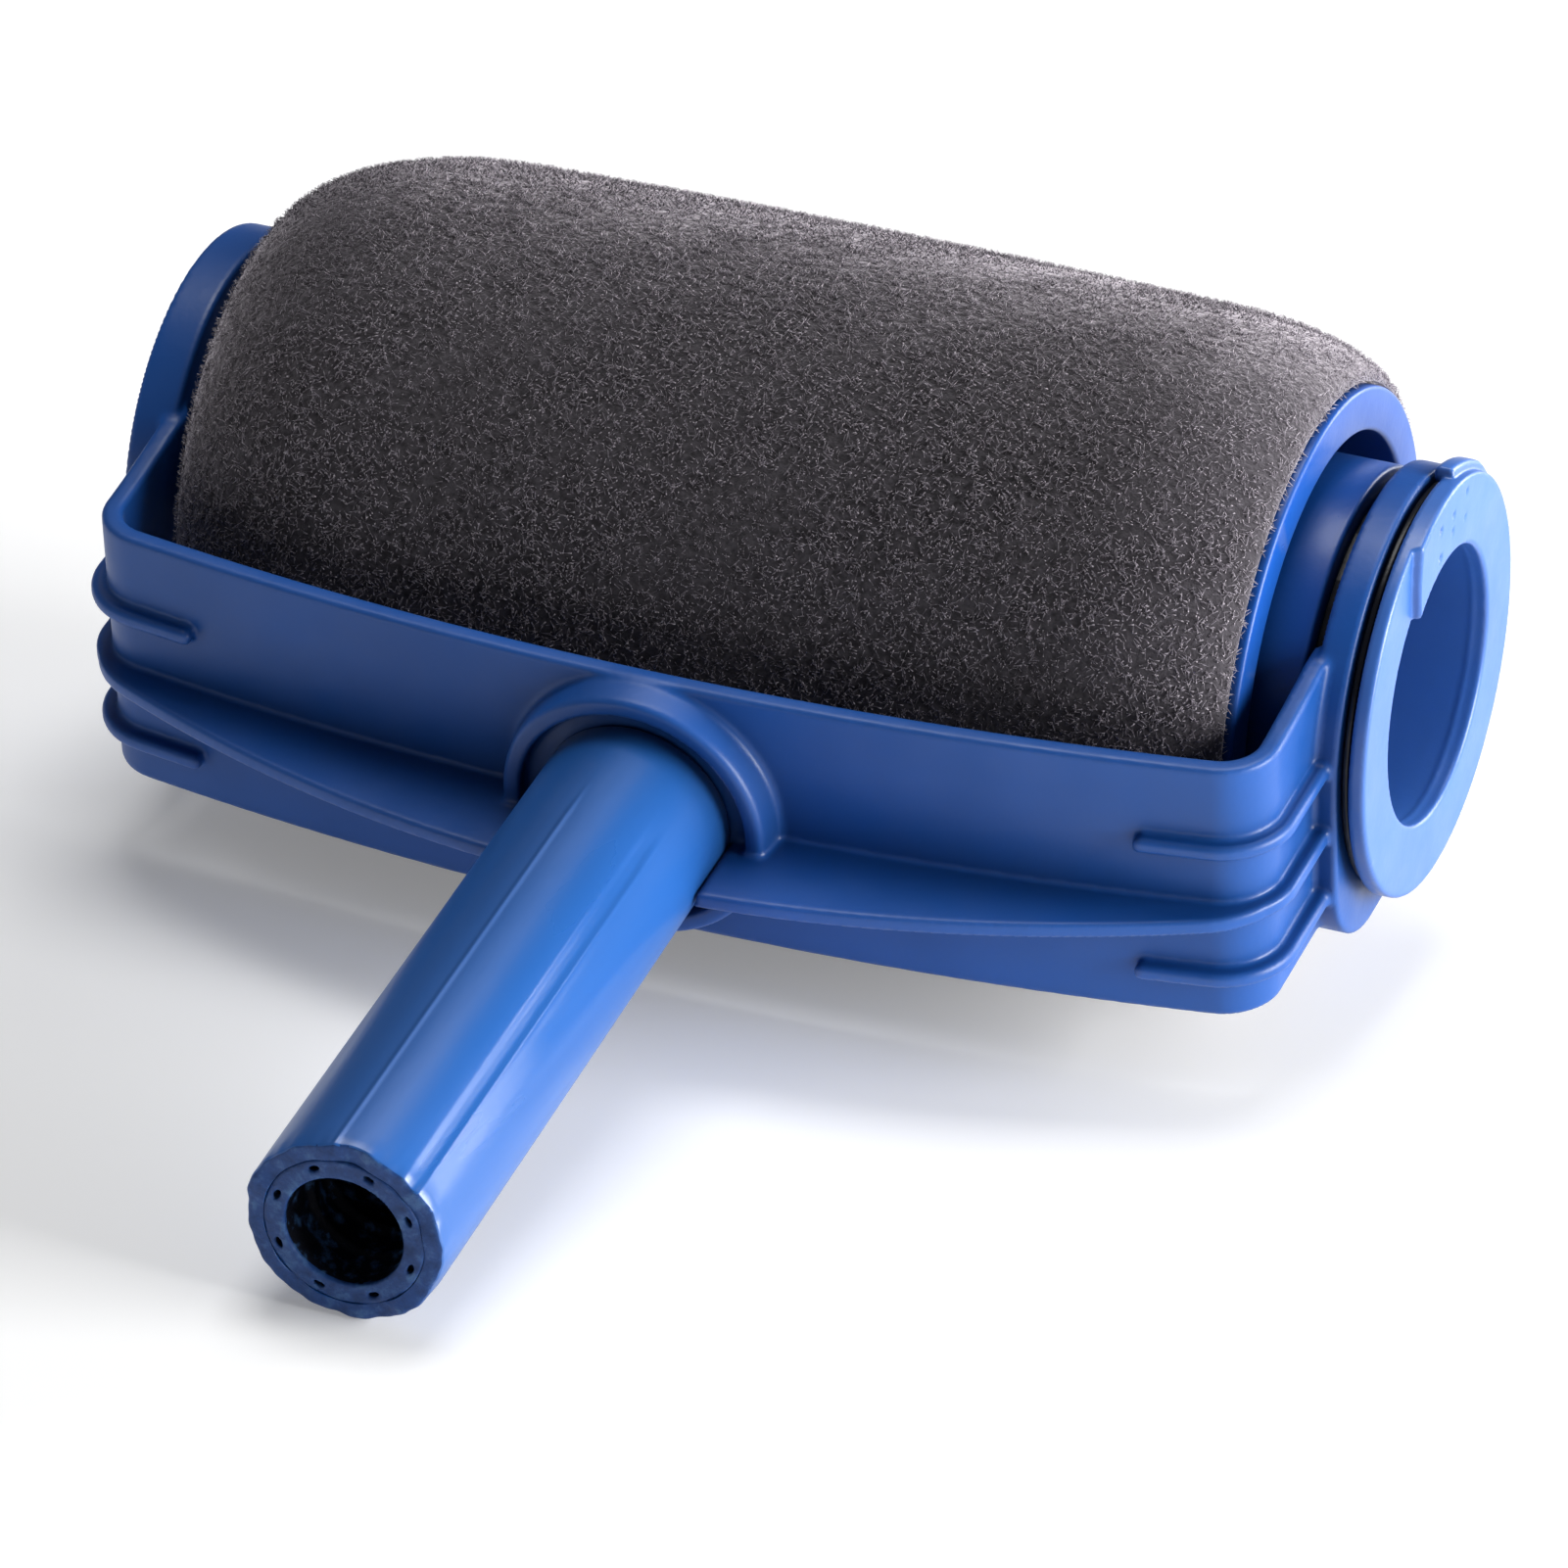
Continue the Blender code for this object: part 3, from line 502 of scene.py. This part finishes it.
# Near black: painted shade for the faces deep in the socket's bore and inside its slots.
bore_painted_shade = cut_plastic("bore_painted_shade", (0.002, 0.003, 0.008))
bearing_black = plastic("bearing_black", (0.006, 0.007, 0.014), 0.3, 0.2, shine=0.3)
seal_rubber = plastic("seal_rubber", (0.015, 0.015, 0.016), 0.6, 0.3)
steel = zinc("steel")
liner_foam = foam("liner_foam", (0.3, 0.29, 0.26))
pile_backing = flock("pile_backing", (0.006, 0.005, 0.007), (0.052, 0.047, 0.055))
pile_fibre = flock("pile_fibre", (0.012, 0.011, 0.014), (0.19, 0.172, 0.2))


# ---------------------------------------------------------------- yoke

def plan_distance(x, y):
    """Distance in plan from the yoke's outer face, negative towards the drum."""
    x = np.abs(x)
    front = np.hypot(x, y - BOW_CENTRE_Y) - BOW_R
    across, along = x - CORNER_X, y - CORNER_Y
    lean = CORNER_X / (BOW_R - CORNER_R)
    in_corner = (along < 0) & (across * math.sqrt(1 - lean**2) + along * lean > 0)
    return np.where(in_corner, np.hypot(across, along) - CORNER_R, np.maximum(x - SIDE_X, front))


def wall_top(y):
    """The side walls' top edge rises in a hollow curve from the corner to the crest."""
    climb = np.clip((y - CORNER_Y) / (CREST_TIP_Y - CORNER_Y), 0, 1)
    return YOKE_TOP + CREST_RISE * climb**1.4


def yoke_wall(outside, y, z, r):
    band = np.abs(outside + WALL / 2) - WALL / 2
    band = both(band, YOKE_BOTTOM - z, 0.7)
    band = both(band, z - wall_top(y), 0.7)
    band = both(band, y - WALL_END_Y, 0.5)
    return both(band, RING_R - RING_OVERLAP - r, 0.3)


def rib(outside, z, top, out, edge):
    height = slab(z, top - RIB_THICK, top)
    return both(np.maximum(outside - out, -WALL / 2 - outside), height, edge)


def yoke_ribs(outside, x, y, z):
    """Two short ribs round each corner, and the middle one that swells into the shelf at the handle."""
    reach = SIDE_X + RIB_OUT - 2
    swell = (SHELF_DEPTH - RIB_OUT) * np.clip(1 - (x / reach) ** 2, 0, 1)
    ribs = rib(outside, z, SHELF_TOP, RIB_OUT + swell, 0.6)
    for top in RIB_TOPS:
        short = both(rib(outside, z, top, RIB_OUT, 0.9), RIB_END_X - np.abs(x), 1.0)
        ribs = np.minimum(ribs, short)
    return both(ribs, y + RING_R - 0.4, 0.2)


def end_plate(x, y, z, r):
    """The ring and the disc: round, with a filleted heel at the lower front."""
    inset = RING_R - RING_HEEL_R
    u, v = -y - inset, -z - inset
    square = np.minimum(np.maximum(u, v), 0) + np.hypot(np.maximum(u, 0), np.maximum(v, 0)) - RING_HEEL_R
    rim = np.where((y < 0) & (z < 0), square, r - RING_R)
    inner_x = np.where(x > 0, RING_IN_X, DISC_IN_X)
    return both(rim, slab(np.abs(x), inner_x, RING_OUT_X), 0.55)


def handle_seat(along, out):
    """The collar round the handle's foot, and the spigot inside it that the handle is pushed on."""
    spread = (COLLAR_FACE - along) * COLLAR_SPREAD
    collar = both(out - COLLAR_R - spread, slab(along, SEAT_ROOT, COLLAR_FACE + 0.2), 0.9)
    hollow = both(slab(out, SPIGOT_R, COLLAR_R - COLLAR_WALL), HANDLE_START - GAP - along, 0.8)
    collar = both(collar, -hollow, 0.5)
    spigot = both(out - SPIGOT_R, slab(along, SEAT_ROOT, SPIGOT_END), 0.8)
    return np.minimum(collar, spigot)


def yoke_distance(x, y, z):
    r = np.hypot(y, z)
    across = x - YOKE_SHIFT
    outside = plan_distance(across, y)
    body = union(yoke_wall(outside, y, z, r), yoke_ribs(outside, across, y, z), 0.45)
    body = union(body, end_plate(x, y, z, r), 0.9)
    along = -y
    out = np.hypot(x - HANDLE_X, z - HANDLE_Z)
    tube_room = both(out - HANDLE_BASE_R - GAP, slab(along, HANDLE_START - GAP, SPIGOT_END + 4), 0.3)
    body = both(body, -tube_room, 0.3)
    body = union(body, handle_seat(along, out), 0.8)
    bores = np.where(x > 0, RING_BORE_R, STUB_R + GAP) - r
    body = both(body, np.where(np.abs(x) > CORNER_X, bores, -50.0), 0.4)
    screw_hole = np.where(along < SCREW_SEAT, SCREW_HEAD_ROOM_R, SCREW_HOLE_R) - out
    return both(body, screw_hole, 0.2)


def make_yoke():
    low = (-RING_OUT_X - 1.5, -SPIGOT_END - 1.5, YOKE_BOTTOM - 6.5)
    high = (RING_OUT_X + 1.5, RING_R + 1.5, RING_R + 1.5)
    pitch = 0.5
    moulding(
        "yoke_moulding", yoke_distance, low, high, pitch, frame_blue, "yoke", ["yoke_frame"],
    )


# ---------------------------------------------------------------- handle

def cut_slant(angle):
    """The free end was sawn a little askew: it is longest on its lower left side."""
    return 0.7 * (np.cos(angle - math.radians(235)) - 1)


def handle_shape(x, r, angle):
    """Moulding lines along the tube, and a rough, uneven cut at its free end."""
    turn = np.degrees(angle)
    outer = r > HANDLE_R - 1.6
    # along_handle turns the spin's Y to the row's X, so 0 degrees is the +X side and 90 is the top
    ridge = 0.16 * np.exp(-(((turn - 93) / 1.3) ** 2))
    flute = -0.2 * np.exp(-(((turn - 45) / 4.2) ** 4))
    lip = 0.1 * np.exp(-(((turn - 39) / 1.1) ** 2))
    latch = 0.25 * np.exp(-(((turn - 41) / 1.6) ** 2) - ((x - 76) / 1.2) ** 2)
    near_end = np.clip((x - (HANDLE_END - 4)) / 4, 0, 1)
    near_start = np.clip((x - HANDLE_START - 14) / 6, 0, 1)
    wave = np.sin(5 * angle + 0.7) + 0.7 * np.sin(9 * angle + 2.1)
    wave += 0.5 * np.sin(16 * angle) + 0.35 * np.sin(31 * angle)
    r = r + np.where(outer, (ridge + flute + lip) * near_start + latch + 0.16 * (wave - 1.4) * near_end**2, 0)
    rough = 0.13 * (np.sin(7 * angle + 1) + np.sin(12 * angle) - 1.8)
    return x + (cut_slant(angle) + rough) * near_end, r


def make_handle():
    bore = HANDLE_R - HANDLE_WALL
    outline = [
        (HANDLE_START, bore), (HANDLE_START, HANDLE_BASE_R),
        (HANDLE_END, HANDLE_R), (HANDLE_END, bore),
    ]
    outline = divided(softened(outline, (0.5, 0.5, 0.7, 0.1), 4), 2.5)
    tube = turned(
        "handle_grip", outline, handle_blue, "yoke", ["handle_tube"],
        steps=360, shape=handle_shape, along_handle=True,
    )
    tube.data.materials.append(cut_blue)
    for face in tube.data.polygons:
        if face.normal.dot(Vector(HANDLE_AXIS)) > 0.75:
            face.material_index = 1


def make_socket():
    """The lining in the handle's end: small slots round its mouth and a coarse thread in its bore, with near-black
    painted shade deep in the bore and inside the slots.
    """
    mouth = HANDLE_END - 0.25
    outer = HANDLE_R - HANDLE_WALL - 0.04
    turns, pitch = 6, 5.0
    first = mouth - 33.0
    slot_r = SOCKET_R + 1.6
    slot_thick, slot_long = 0.42, 0.8
    step = 2 * math.pi / 8

    def distance(x, y, z):
        """In tool millimetres, with the handle along -Y."""
        across, up = x - HANDLE_X, z - HANDLE_Z
        out = np.hypot(across, up)
        angle = np.arctan2(up, across)
        along = -y - cut_slant(angle) * np.clip((-y - mouth + 8) / 8, 0, 1)
        rise = (along - first) / pitch - angle / (2 * math.pi)
        ridge = np.clip(1 - np.abs(rise % 1.0 - 0.5) * 4, 0, 1)
        fade = np.clip((along - first) / pitch, 0, 1) * np.clip(turns - (along - first) / pitch, 0, 1)
        bore = SOCKET_R - 0.7 * ridge * fade
        shell = np.where(along > mouth - 2, outer, SPIGOT_R)
        lining = both(slab(out, bore, shell), slab(along, INSERT_START, mouth), 0.25)
        nearest = angle % step - step / 2
        slot = (np.hypot((out - slot_r) / slot_thick, out * nearest / slot_long) - 1) * slot_thick
        return both(lining, -both(slot, mouth - 3 - along, 0.1), 0.12)

    low = (HANDLE_X - outer - 0.8, -mouth - 0.8, HANDLE_Z - outer - 0.8)
    high = (HANDLE_X + outer + 0.8, -INSERT_START + 0.8, HANDLE_Z + outer + 0.8)
    lining = moulding(
        "socket_lining", distance, low, high, 0.33, socket_blue, "yoke", ["pole_insert"],
    )
    # Painted shade: faces deep in the bore and inside the slots get the near-black material.
    lining.data.materials.append(bore_painted_shade)
    inwards = TOOL.inverted()
    for face in lining.data.polygons:
        x, y, z = inwards @ face.center
        out = math.hypot(x - HANDLE_X, z - HANDLE_Z)
        depth = mouth + cut_slant(math.atan2(z - HANDLE_Z, x - HANDLE_X)) + y
        in_bore = out < SOCKET_R + 0.1 and depth > 0.6
        in_slot = abs(out - slot_r) < 1 and 0.3 < depth < 4
        if in_bore or in_slot:
            face.material_index = 1


# ---------------------------------------------------------------- bearings and axle

def make_neck_bush():
    bore = NECK_R + GAP
    outer = RING_BORE_R - GAP
    start, flange_start, end = RING_IN_X + GAP, RING_OUT_X + GAP, FLANGE_BACK_X - GAP
    outline = [
        (start, bore), (end, bore), (end, BUSH_FLANGE_R),
        (flange_start, BUSH_FLANGE_R), (flange_start, outer), (start, outer),
    ]
    turned("neck_bearing", softened(outline, 0.3), bearing_black, "yoke", ["neck_bush"])


def make_axle_stub():
    """The pin's head has a coin slot, so it is meshed from a distance."""
    def distance(x, y, z):
        r = np.hypot(y, z)
        head = both(r - STUB_HEAD_R, slab(x, STUB_HEAD_X, -RING_OUT_X - GAP), 0.6)
        pin = both(r - STUB_R, slab(x, STUB_HEAD_X + 1, STUB_INNER_X), 0.6)
        slot = np.maximum(slab(y, -1.2, 1.2), np.maximum(np.abs(z) - 8, x - STUB_HEAD_X - 1.5))
        return both(union(head, pin, 0.4), -slot, 0.25)

    low = (STUB_HEAD_X - 0.8, -STUB_HEAD_R - 0.8, -STUB_HEAD_R - 0.8)
    high = (STUB_INNER_X + 0.8, STUB_HEAD_R + 0.8, STUB_HEAD_R + 0.8)
    moulding("axle_pin", distance, low, high, 0.4, bearing_black, "yoke", ["axle_stub"])


# ---------------------------------------------------------------- drum

def plug_outline(side, shoulder):
    """The part of a cap's outline that fills the shell, with its seal groove. side is 1 or -1."""
    groove_in, groove_out = (side * x for x in SEAL_GROOVE_X)
    groove_r = PLUG_R - SEAL_GROOVE_DEPTH
    return [
        (side * shoulder, PLUG_R), (groove_out, PLUG_R), (groove_out, groove_r),
        (groove_in, groove_r), (groove_in, PLUG_R), (side * PLUG_END_X, PLUG_R),
    ]


def make_fill_cap():
    shoulder = SHELL_END_X + GAP
    bore = NECK_R + GAP
    outline = [(RIM_X, RIM_R), (shoulder, RIM_R), *plug_outline(1, shoulder)]
    outline += [(PLUG_END_X, bore), (HUB_END_X, bore), (HUB_END_X, HUB_R)]
    outline += [(RECESS_FLOOR_X, HUB_R), (RECESS_FLOOR_X, RECESS_R), (RIM_X, RECESS_R)]
    turned(
        "fill_end_moulding", softened(outline, 0.7, 4), drum_blue, "drum", ["fill_end_cap"],
        steps=256,
    )


def make_closed_cap():
    shoulder = SHELL_END_X + GAP
    skirt_r = PLUG_R - CLOSED_SKIRT
    boss_bore = STUB_R + 2 * GAP + BUSH_WALL
    web_in, web_out = CLOSED_WEB_X
    outline = [(-CLOSED_RIM_X, SHELL_R), (-shoulder, SHELL_R), *plug_outline(-1, shoulder)]
    outline += [(-PLUG_END_X, skirt_r), (-web_in, skirt_r), (-web_in, AXIS_R), (-web_out, AXIS_R)]
    outline += [(-web_out, boss_bore), (BOSS_END_X, boss_bore), (BOSS_END_X, BOSS_R)]
    outline += [(-CLOSED_FLOOR_X, BOSS_R), (-CLOSED_FLOOR_X, RECESS_R), (-CLOSED_RIM_X, RECESS_R)]
    turned("closed_end_moulding", softened(outline, 0.6), drum_blue, "drum", ["closed_end_cap"])


def flange_face(turn_deg):
    """The flange starts high at its thick end, levels out, and then falls to end low at a steep step."""
    flat_start, flat_end = FLANGE_FLAT_DEG
    high = np.clip(1 - turn_deg / flat_start, 0, 1)
    low = np.clip((turn_deg - flat_end) / (360.0 - flat_end), 0, 1)
    level = FLANGE_X + FLANGE_HIGH * high - FLANGE_LOW * low
    step = np.clip(1 - (360.0 - turn_deg) / FLANGE_STEP_RUN_DEG, 0, 1)
    return level + (FLANGE_HIGH + FLANGE_LOW) * step


def flange_lug(x, r, turn):
    """A band outside the flange's edge, which starts abruptly and fades out round the turn."""
    low, high = LUG_DEG
    edge = FLANGE_R + (LUG_R - FLANGE_R) * np.clip((turn - low) / LUG_FADE_DEG, 0, 1)
    band = both(slab(r, BUSH_FLANGE_R + GAP, edge), slab(x, *LUG_X), 0.7)
    return both(band, np.radians(slab(turn, low, high)) * FLANGE_R, 0.3)


def neck_distance(x, y, z):
    r = np.hypot(y, z)
    angle = np.degrees(np.arctan2(z, y))
    turn = (FLANGE_STEP_DEG - FLANGE_STEP_SLANT * (r - NECK_BORE_R) - angle) % 360.0
    neck = both(slab(r, NECK_BORE_R, NECK_R), slab(x, NECK_INNER_X, FLANGE_BACK_X + 1), 0.5)
    groove = np.maximum(slab(x, *NECK_GROOVE_X), NECK_R - NECK_GROOVE_DEPTH - r)
    neck = both(neck, -groove, 0.2)
    flange = both(slab(r, NECK_BORE_R, FLANGE_R), np.maximum(FLANGE_BACK_X - x, x - flange_face(turn)), 0.55)
    flange = union(flange, flange_lug(x, r, angle), 0.4)
    for dimple_r, dimple_deg in DIMPLES:
        a = math.radians(dimple_deg)
        away = np.hypot(y - dimple_r * math.cos(a), z - dimple_r * math.sin(a))
        flange = both(flange, -np.hypot(away, (x - FLANGE_X - FLANGE_HIGH) * 1.2) + DIMPLE_R, 0.15)
    return union(neck, flange, 0.3)


def make_neck():
    low = (NECK_INNER_X - 0.9, -LUG_R - 0.9, -LUG_R - 0.9)
    high = (FLANGE_X + FLANGE_HIGH + 0.9, LUG_R + 0.9, LUG_R + 0.9)
    moulding("neck_flange", neck_distance, low, high, 0.36, neck_blue, "drum", ["filler_neck"])


# ---------------------------------------------------------------- sleeve

def sleeve_radius(x):
    """The sleeve's outer radius: a slight barrel with long elliptical ends."""
    ends = (
        (x, SLEEVE_FILL_X, SLEEVE_FILL_R, SLEEVE_FILL_ROUND),
        (-x, SLEEVE_CLOSED_X, SLEEVE_CLOSED_R, SLEEVE_CLOSED_ROUND),
    )
    r = SLEEVE_R - SLEEVE_BARREL * x * x
    for out, edge_x, edge_r, length in ends:
        share = min(max((out - edge_x) / length + 1, 0), 1)
        r = edge_r + (r - edge_r) * math.sqrt(1 - share**2)
    return r


def sleeve_line():
    """The sleeve's outer line in (x, r), from the edge over the closed rim to the edge at the filler end."""
    closed, fill = SLEEVE_CLOSED_ROUND - SLEEVE_CLOSED_X, SLEEVE_FILL_X - SLEEVE_FILL_ROUND
    sines = [math.sin(math.radians(2.25 * i)) for i in range(41)]
    xs = [-SLEEVE_CLOSED_X + SLEEVE_CLOSED_ROUND * (1 - sine) for sine in sines[:0:-1]]
    xs += [closed + (fill - closed) * i / 60 for i in range(60)]
    xs += [fill + SLEEVE_FILL_ROUND * sine for sine in sines]
    return [(x, sleeve_radius(x)) for x in xs]


def inset(line, depth):
    """An open line moved towards the drum by a depth, square to itself."""
    points = np.array(line)
    along = np.gradient(points, axis=0)
    along /= np.linalg.norm(along, axis=1)[:, None]
    return points + np.stack([along[:, 1], -along[:, 0]], 1) * depth


def make_sleeve():
    backing = inset(sleeve_line(), PILE_DEPTH).tolist()
    seat_r = SHELL_R + GAP
    closed, fill = FOAM_END_X[0] - GAP, FOAM_END_X[1] + GAP
    lap_x = -CLOSED_RIM_X - GAP
    inner = [(SLEEVE_FILL_X - 0.8, SLEEVE_FILL_R), (SHELL_END_X, SLEEVE_FILL_R), (SHELL_END_X, seat_r)]
    inner += [(fill, seat_r), (fill, PILE_BORE_R), (closed, PILE_BORE_R), (closed, seat_r)]
    inner += [(lap_x, seat_r), (lap_x, SLEEVE_CLOSED_R)]

    def uneven(x, r, angle):
        """Low lumps on the outer side only, fading out round the ends."""
        depth = np.vectorize(sleeve_radius)(x) - r
        outer = np.clip((1.2 - depth) / 0.5, 0, 1)
        lumps = np.sin(3 * angle + x / 19) * np.sin(x / 11 + 2 * np.sin(angle))
        lumps += 0.5 * np.sin(13 * angle + x / 5)
        return x, r + outer * (0.12 * lumps - 0.1)

    turned(
        "sleeve_backing", backing + inner, pile_backing, "drum", ["pile_sleeve"],
        steps=288, shape=uneven,
    )


def make_fibres(count, longest, seed):
    """Short tapered fibres all over the sleeve, leaning every way, each a closed spike."""
    random = np.random.default_rng(seed)
    line = inset(sleeve_line(), PILE_DEPTH)
    step = np.diff(line, axis=0)
    middle = (line[1:] + line[:-1]) / 2
    area = np.linalg.norm(step, axis=1) * middle[:, 1]
    pick = random.choice(len(area), count, p=area / area.sum())
    spot = line[pick] + step[pick] * random.random(count)[:, None]
    angle = random.random(count) * 2 * math.pi
    spin = np.stack([np.zeros(count), np.cos(angle), np.sin(angle)], 1)
    axis = np.array([1.0, 0.0, 0.0])
    root = spot[:, :1] * axis + spot[:, 1:] * spin
    along = step[pick] / np.linalg.norm(step[pick], axis=1)[:, None]
    run = along[:, :1] * axis + along[:, 1:] * spin
    out = -along[:, 1:] * axis + along[:, :1] * spin
    around = np.cross(out, run)
    lean = np.radians(random.uniform(25, 82, count))[:, None]
    way = random.uniform(0, 2 * math.pi, count)[:, None]
    length = random.uniform(0.55, 1.0, count)[:, None] * longest
    direction = out * np.cos(lean) + (run * np.cos(way) + around * np.sin(way)) * np.sin(lean)
    outwards = (direction * out).sum(1)[:, None]
    rise = np.minimum(outwards * length, PILE_DEPTH)
    tip = root + out * rise + (direction - out * outwards) * length
    side = np.cross(direction, out)
    side /= np.linalg.norm(side, axis=1)[:, None]
    lift = np.cross(side, direction)
    thick = random.uniform(0.07, 0.13, count)[:, None]
    root = root - out * 0.15
    corners = [root + (side * math.cos(a) + lift * math.sin(a)) * thick for a in FIBRE_CORNERS]
    points = np.stack([*corners, tip], 1).reshape(-1, 3)
    first = np.arange(count)[:, None] * 4
    faces = np.concatenate([first + f for f in ((0, 1, 3), (1, 2, 3), (2, 0, 3), (0, 2, 1))])
    piece(f"pile_fibres_{seed}", points, faces.tolist(), pile_fibre, "drum")


# ---------------------------------------------------------------- carried-over CAD nodes

def dress(node, material):
    thing = frame["nodes"][node]
    thing.data.materials.clear()
    thing.data.materials.append(material)


def dress_cad_nodes():
    for node in ("neck_seal", "fill_end_seal", "closed_end_seal"):
        dress(node, seal_rubber)
    for node in ("fill_end_washer", "closed_end_washer", "axle_bush"):
        dress(node, bearing_black)
    for node in ("handle_screw", "handle_screw_washer"):
        dress(node, steel)
    dress("drum_shell", drum_blue)
    dress("foam_liner", liner_foam)


# ---------------------------------------------------------------- stage, lights, camera

def make_floor():
    bpy.ops.mesh.primitive_plane_add(size=14)
    floor = bpy.context.object
    floor.name = "floor"
    material, tree, shader, where = nodes_of("pale_floor")
    speckle = noise(tree, where, 3, 2)
    colour = ramp(tree, speckle, [(0.3, (0.86, 0.86, 0.86)), (0.7, (0.9, 0.9, 0.9))])
    tree.links.new(colour, shader.inputs["Base Color"])
    shader.inputs["Roughness"].default_value = 0.9
    shader.inputs["Specular IOR Level"].default_value = 0.1
    shader.inputs["Emission Color"].default_value = (1, 1, 1, 1)
    shader.inputs["Emission Strength"].default_value = 0.2
    floor.data.materials.append(material)


def softbox(name, place, size, watts, target):
    light = bpy.data.lights.new(name, "AREA")
    light.shape = "RECTANGLE"
    light.size, light.size_y = size
    light.energy = watts
    lamp = bpy.data.objects.new(name, light)
    bpy.context.scene.collection.objects.link(lamp)
    lamp.location = place
    lamp.rotation_euler = (Vector(target) - Vector(place)).to_track_quat("-Z", "Y").to_euler()


def light_studio():
    middle = (0, 0.02, 0.04)
    softbox("key_right", (1.6, 0.1, 0.4), (1.0, 0.9), 50, middle)
    softbox("back_right", (0.9, 1.5, 0.45), (1.1, 0.8), 25, middle)
    softbox("overhead", (-0.1, 0.3, 1.7), (1.0, 0.8), 14, middle)
    world = bpy.data.worlds.new("studio")
    world.use_nodes = True
    background = world.node_tree.nodes["Background"]
    background.inputs["Color"].default_value = (0.95, 0.97, 1.0, 1)
    background.inputs["Strength"].default_value = 0.12
    bpy.context.scene.world = world
    bpy.context.scene.view_settings.view_transform = "Standard"


def make_camera():
    """The viewing angle, in the tool's own frame: a bearing round it, a height, a roll and a distance."""
    bearing, height, roll = math.radians(23.73), math.radians(36.47), math.radians(-2.36)
    distance, right, up = 1400.0, 2.07, 31.22
    back = Vector((
        math.sin(bearing) * math.cos(height), -math.cos(bearing) * math.cos(height), math.sin(height),
    ))
    turn = back.to_track_quat("Z", "Y").to_matrix() @ Matrix.Rotation(roll, 3, "Z")
    place = back * distance - turn.col[0] * right - turn.col[1] * up
    data = bpy.data.cameras.new("camera")
    data.sensor_width = 36
    data.lens = 240.1
    camera = bpy.data.objects.new("camera", data)
    bpy.context.scene.collection.objects.link(camera)
    camera.matrix_world = Matrix.Translation(TOOL @ place) @ Matrix.Rotation(TILT, 4, "X") @ turn.to_4x4()
    bpy.context.scene.camera = camera


# ---------------------------------------------------------------- the scene

make_yoke()
make_handle()
make_socket()
make_neck_bush()
make_axle_stub()
make_fill_cap()
make_closed_cap()
make_neck()
make_sleeve()
make_fibres(FIBRE_COUNT, FIBRE_LONGEST, 1)
dress_cad_nodes()
make_floor()
light_studio()
make_camera()
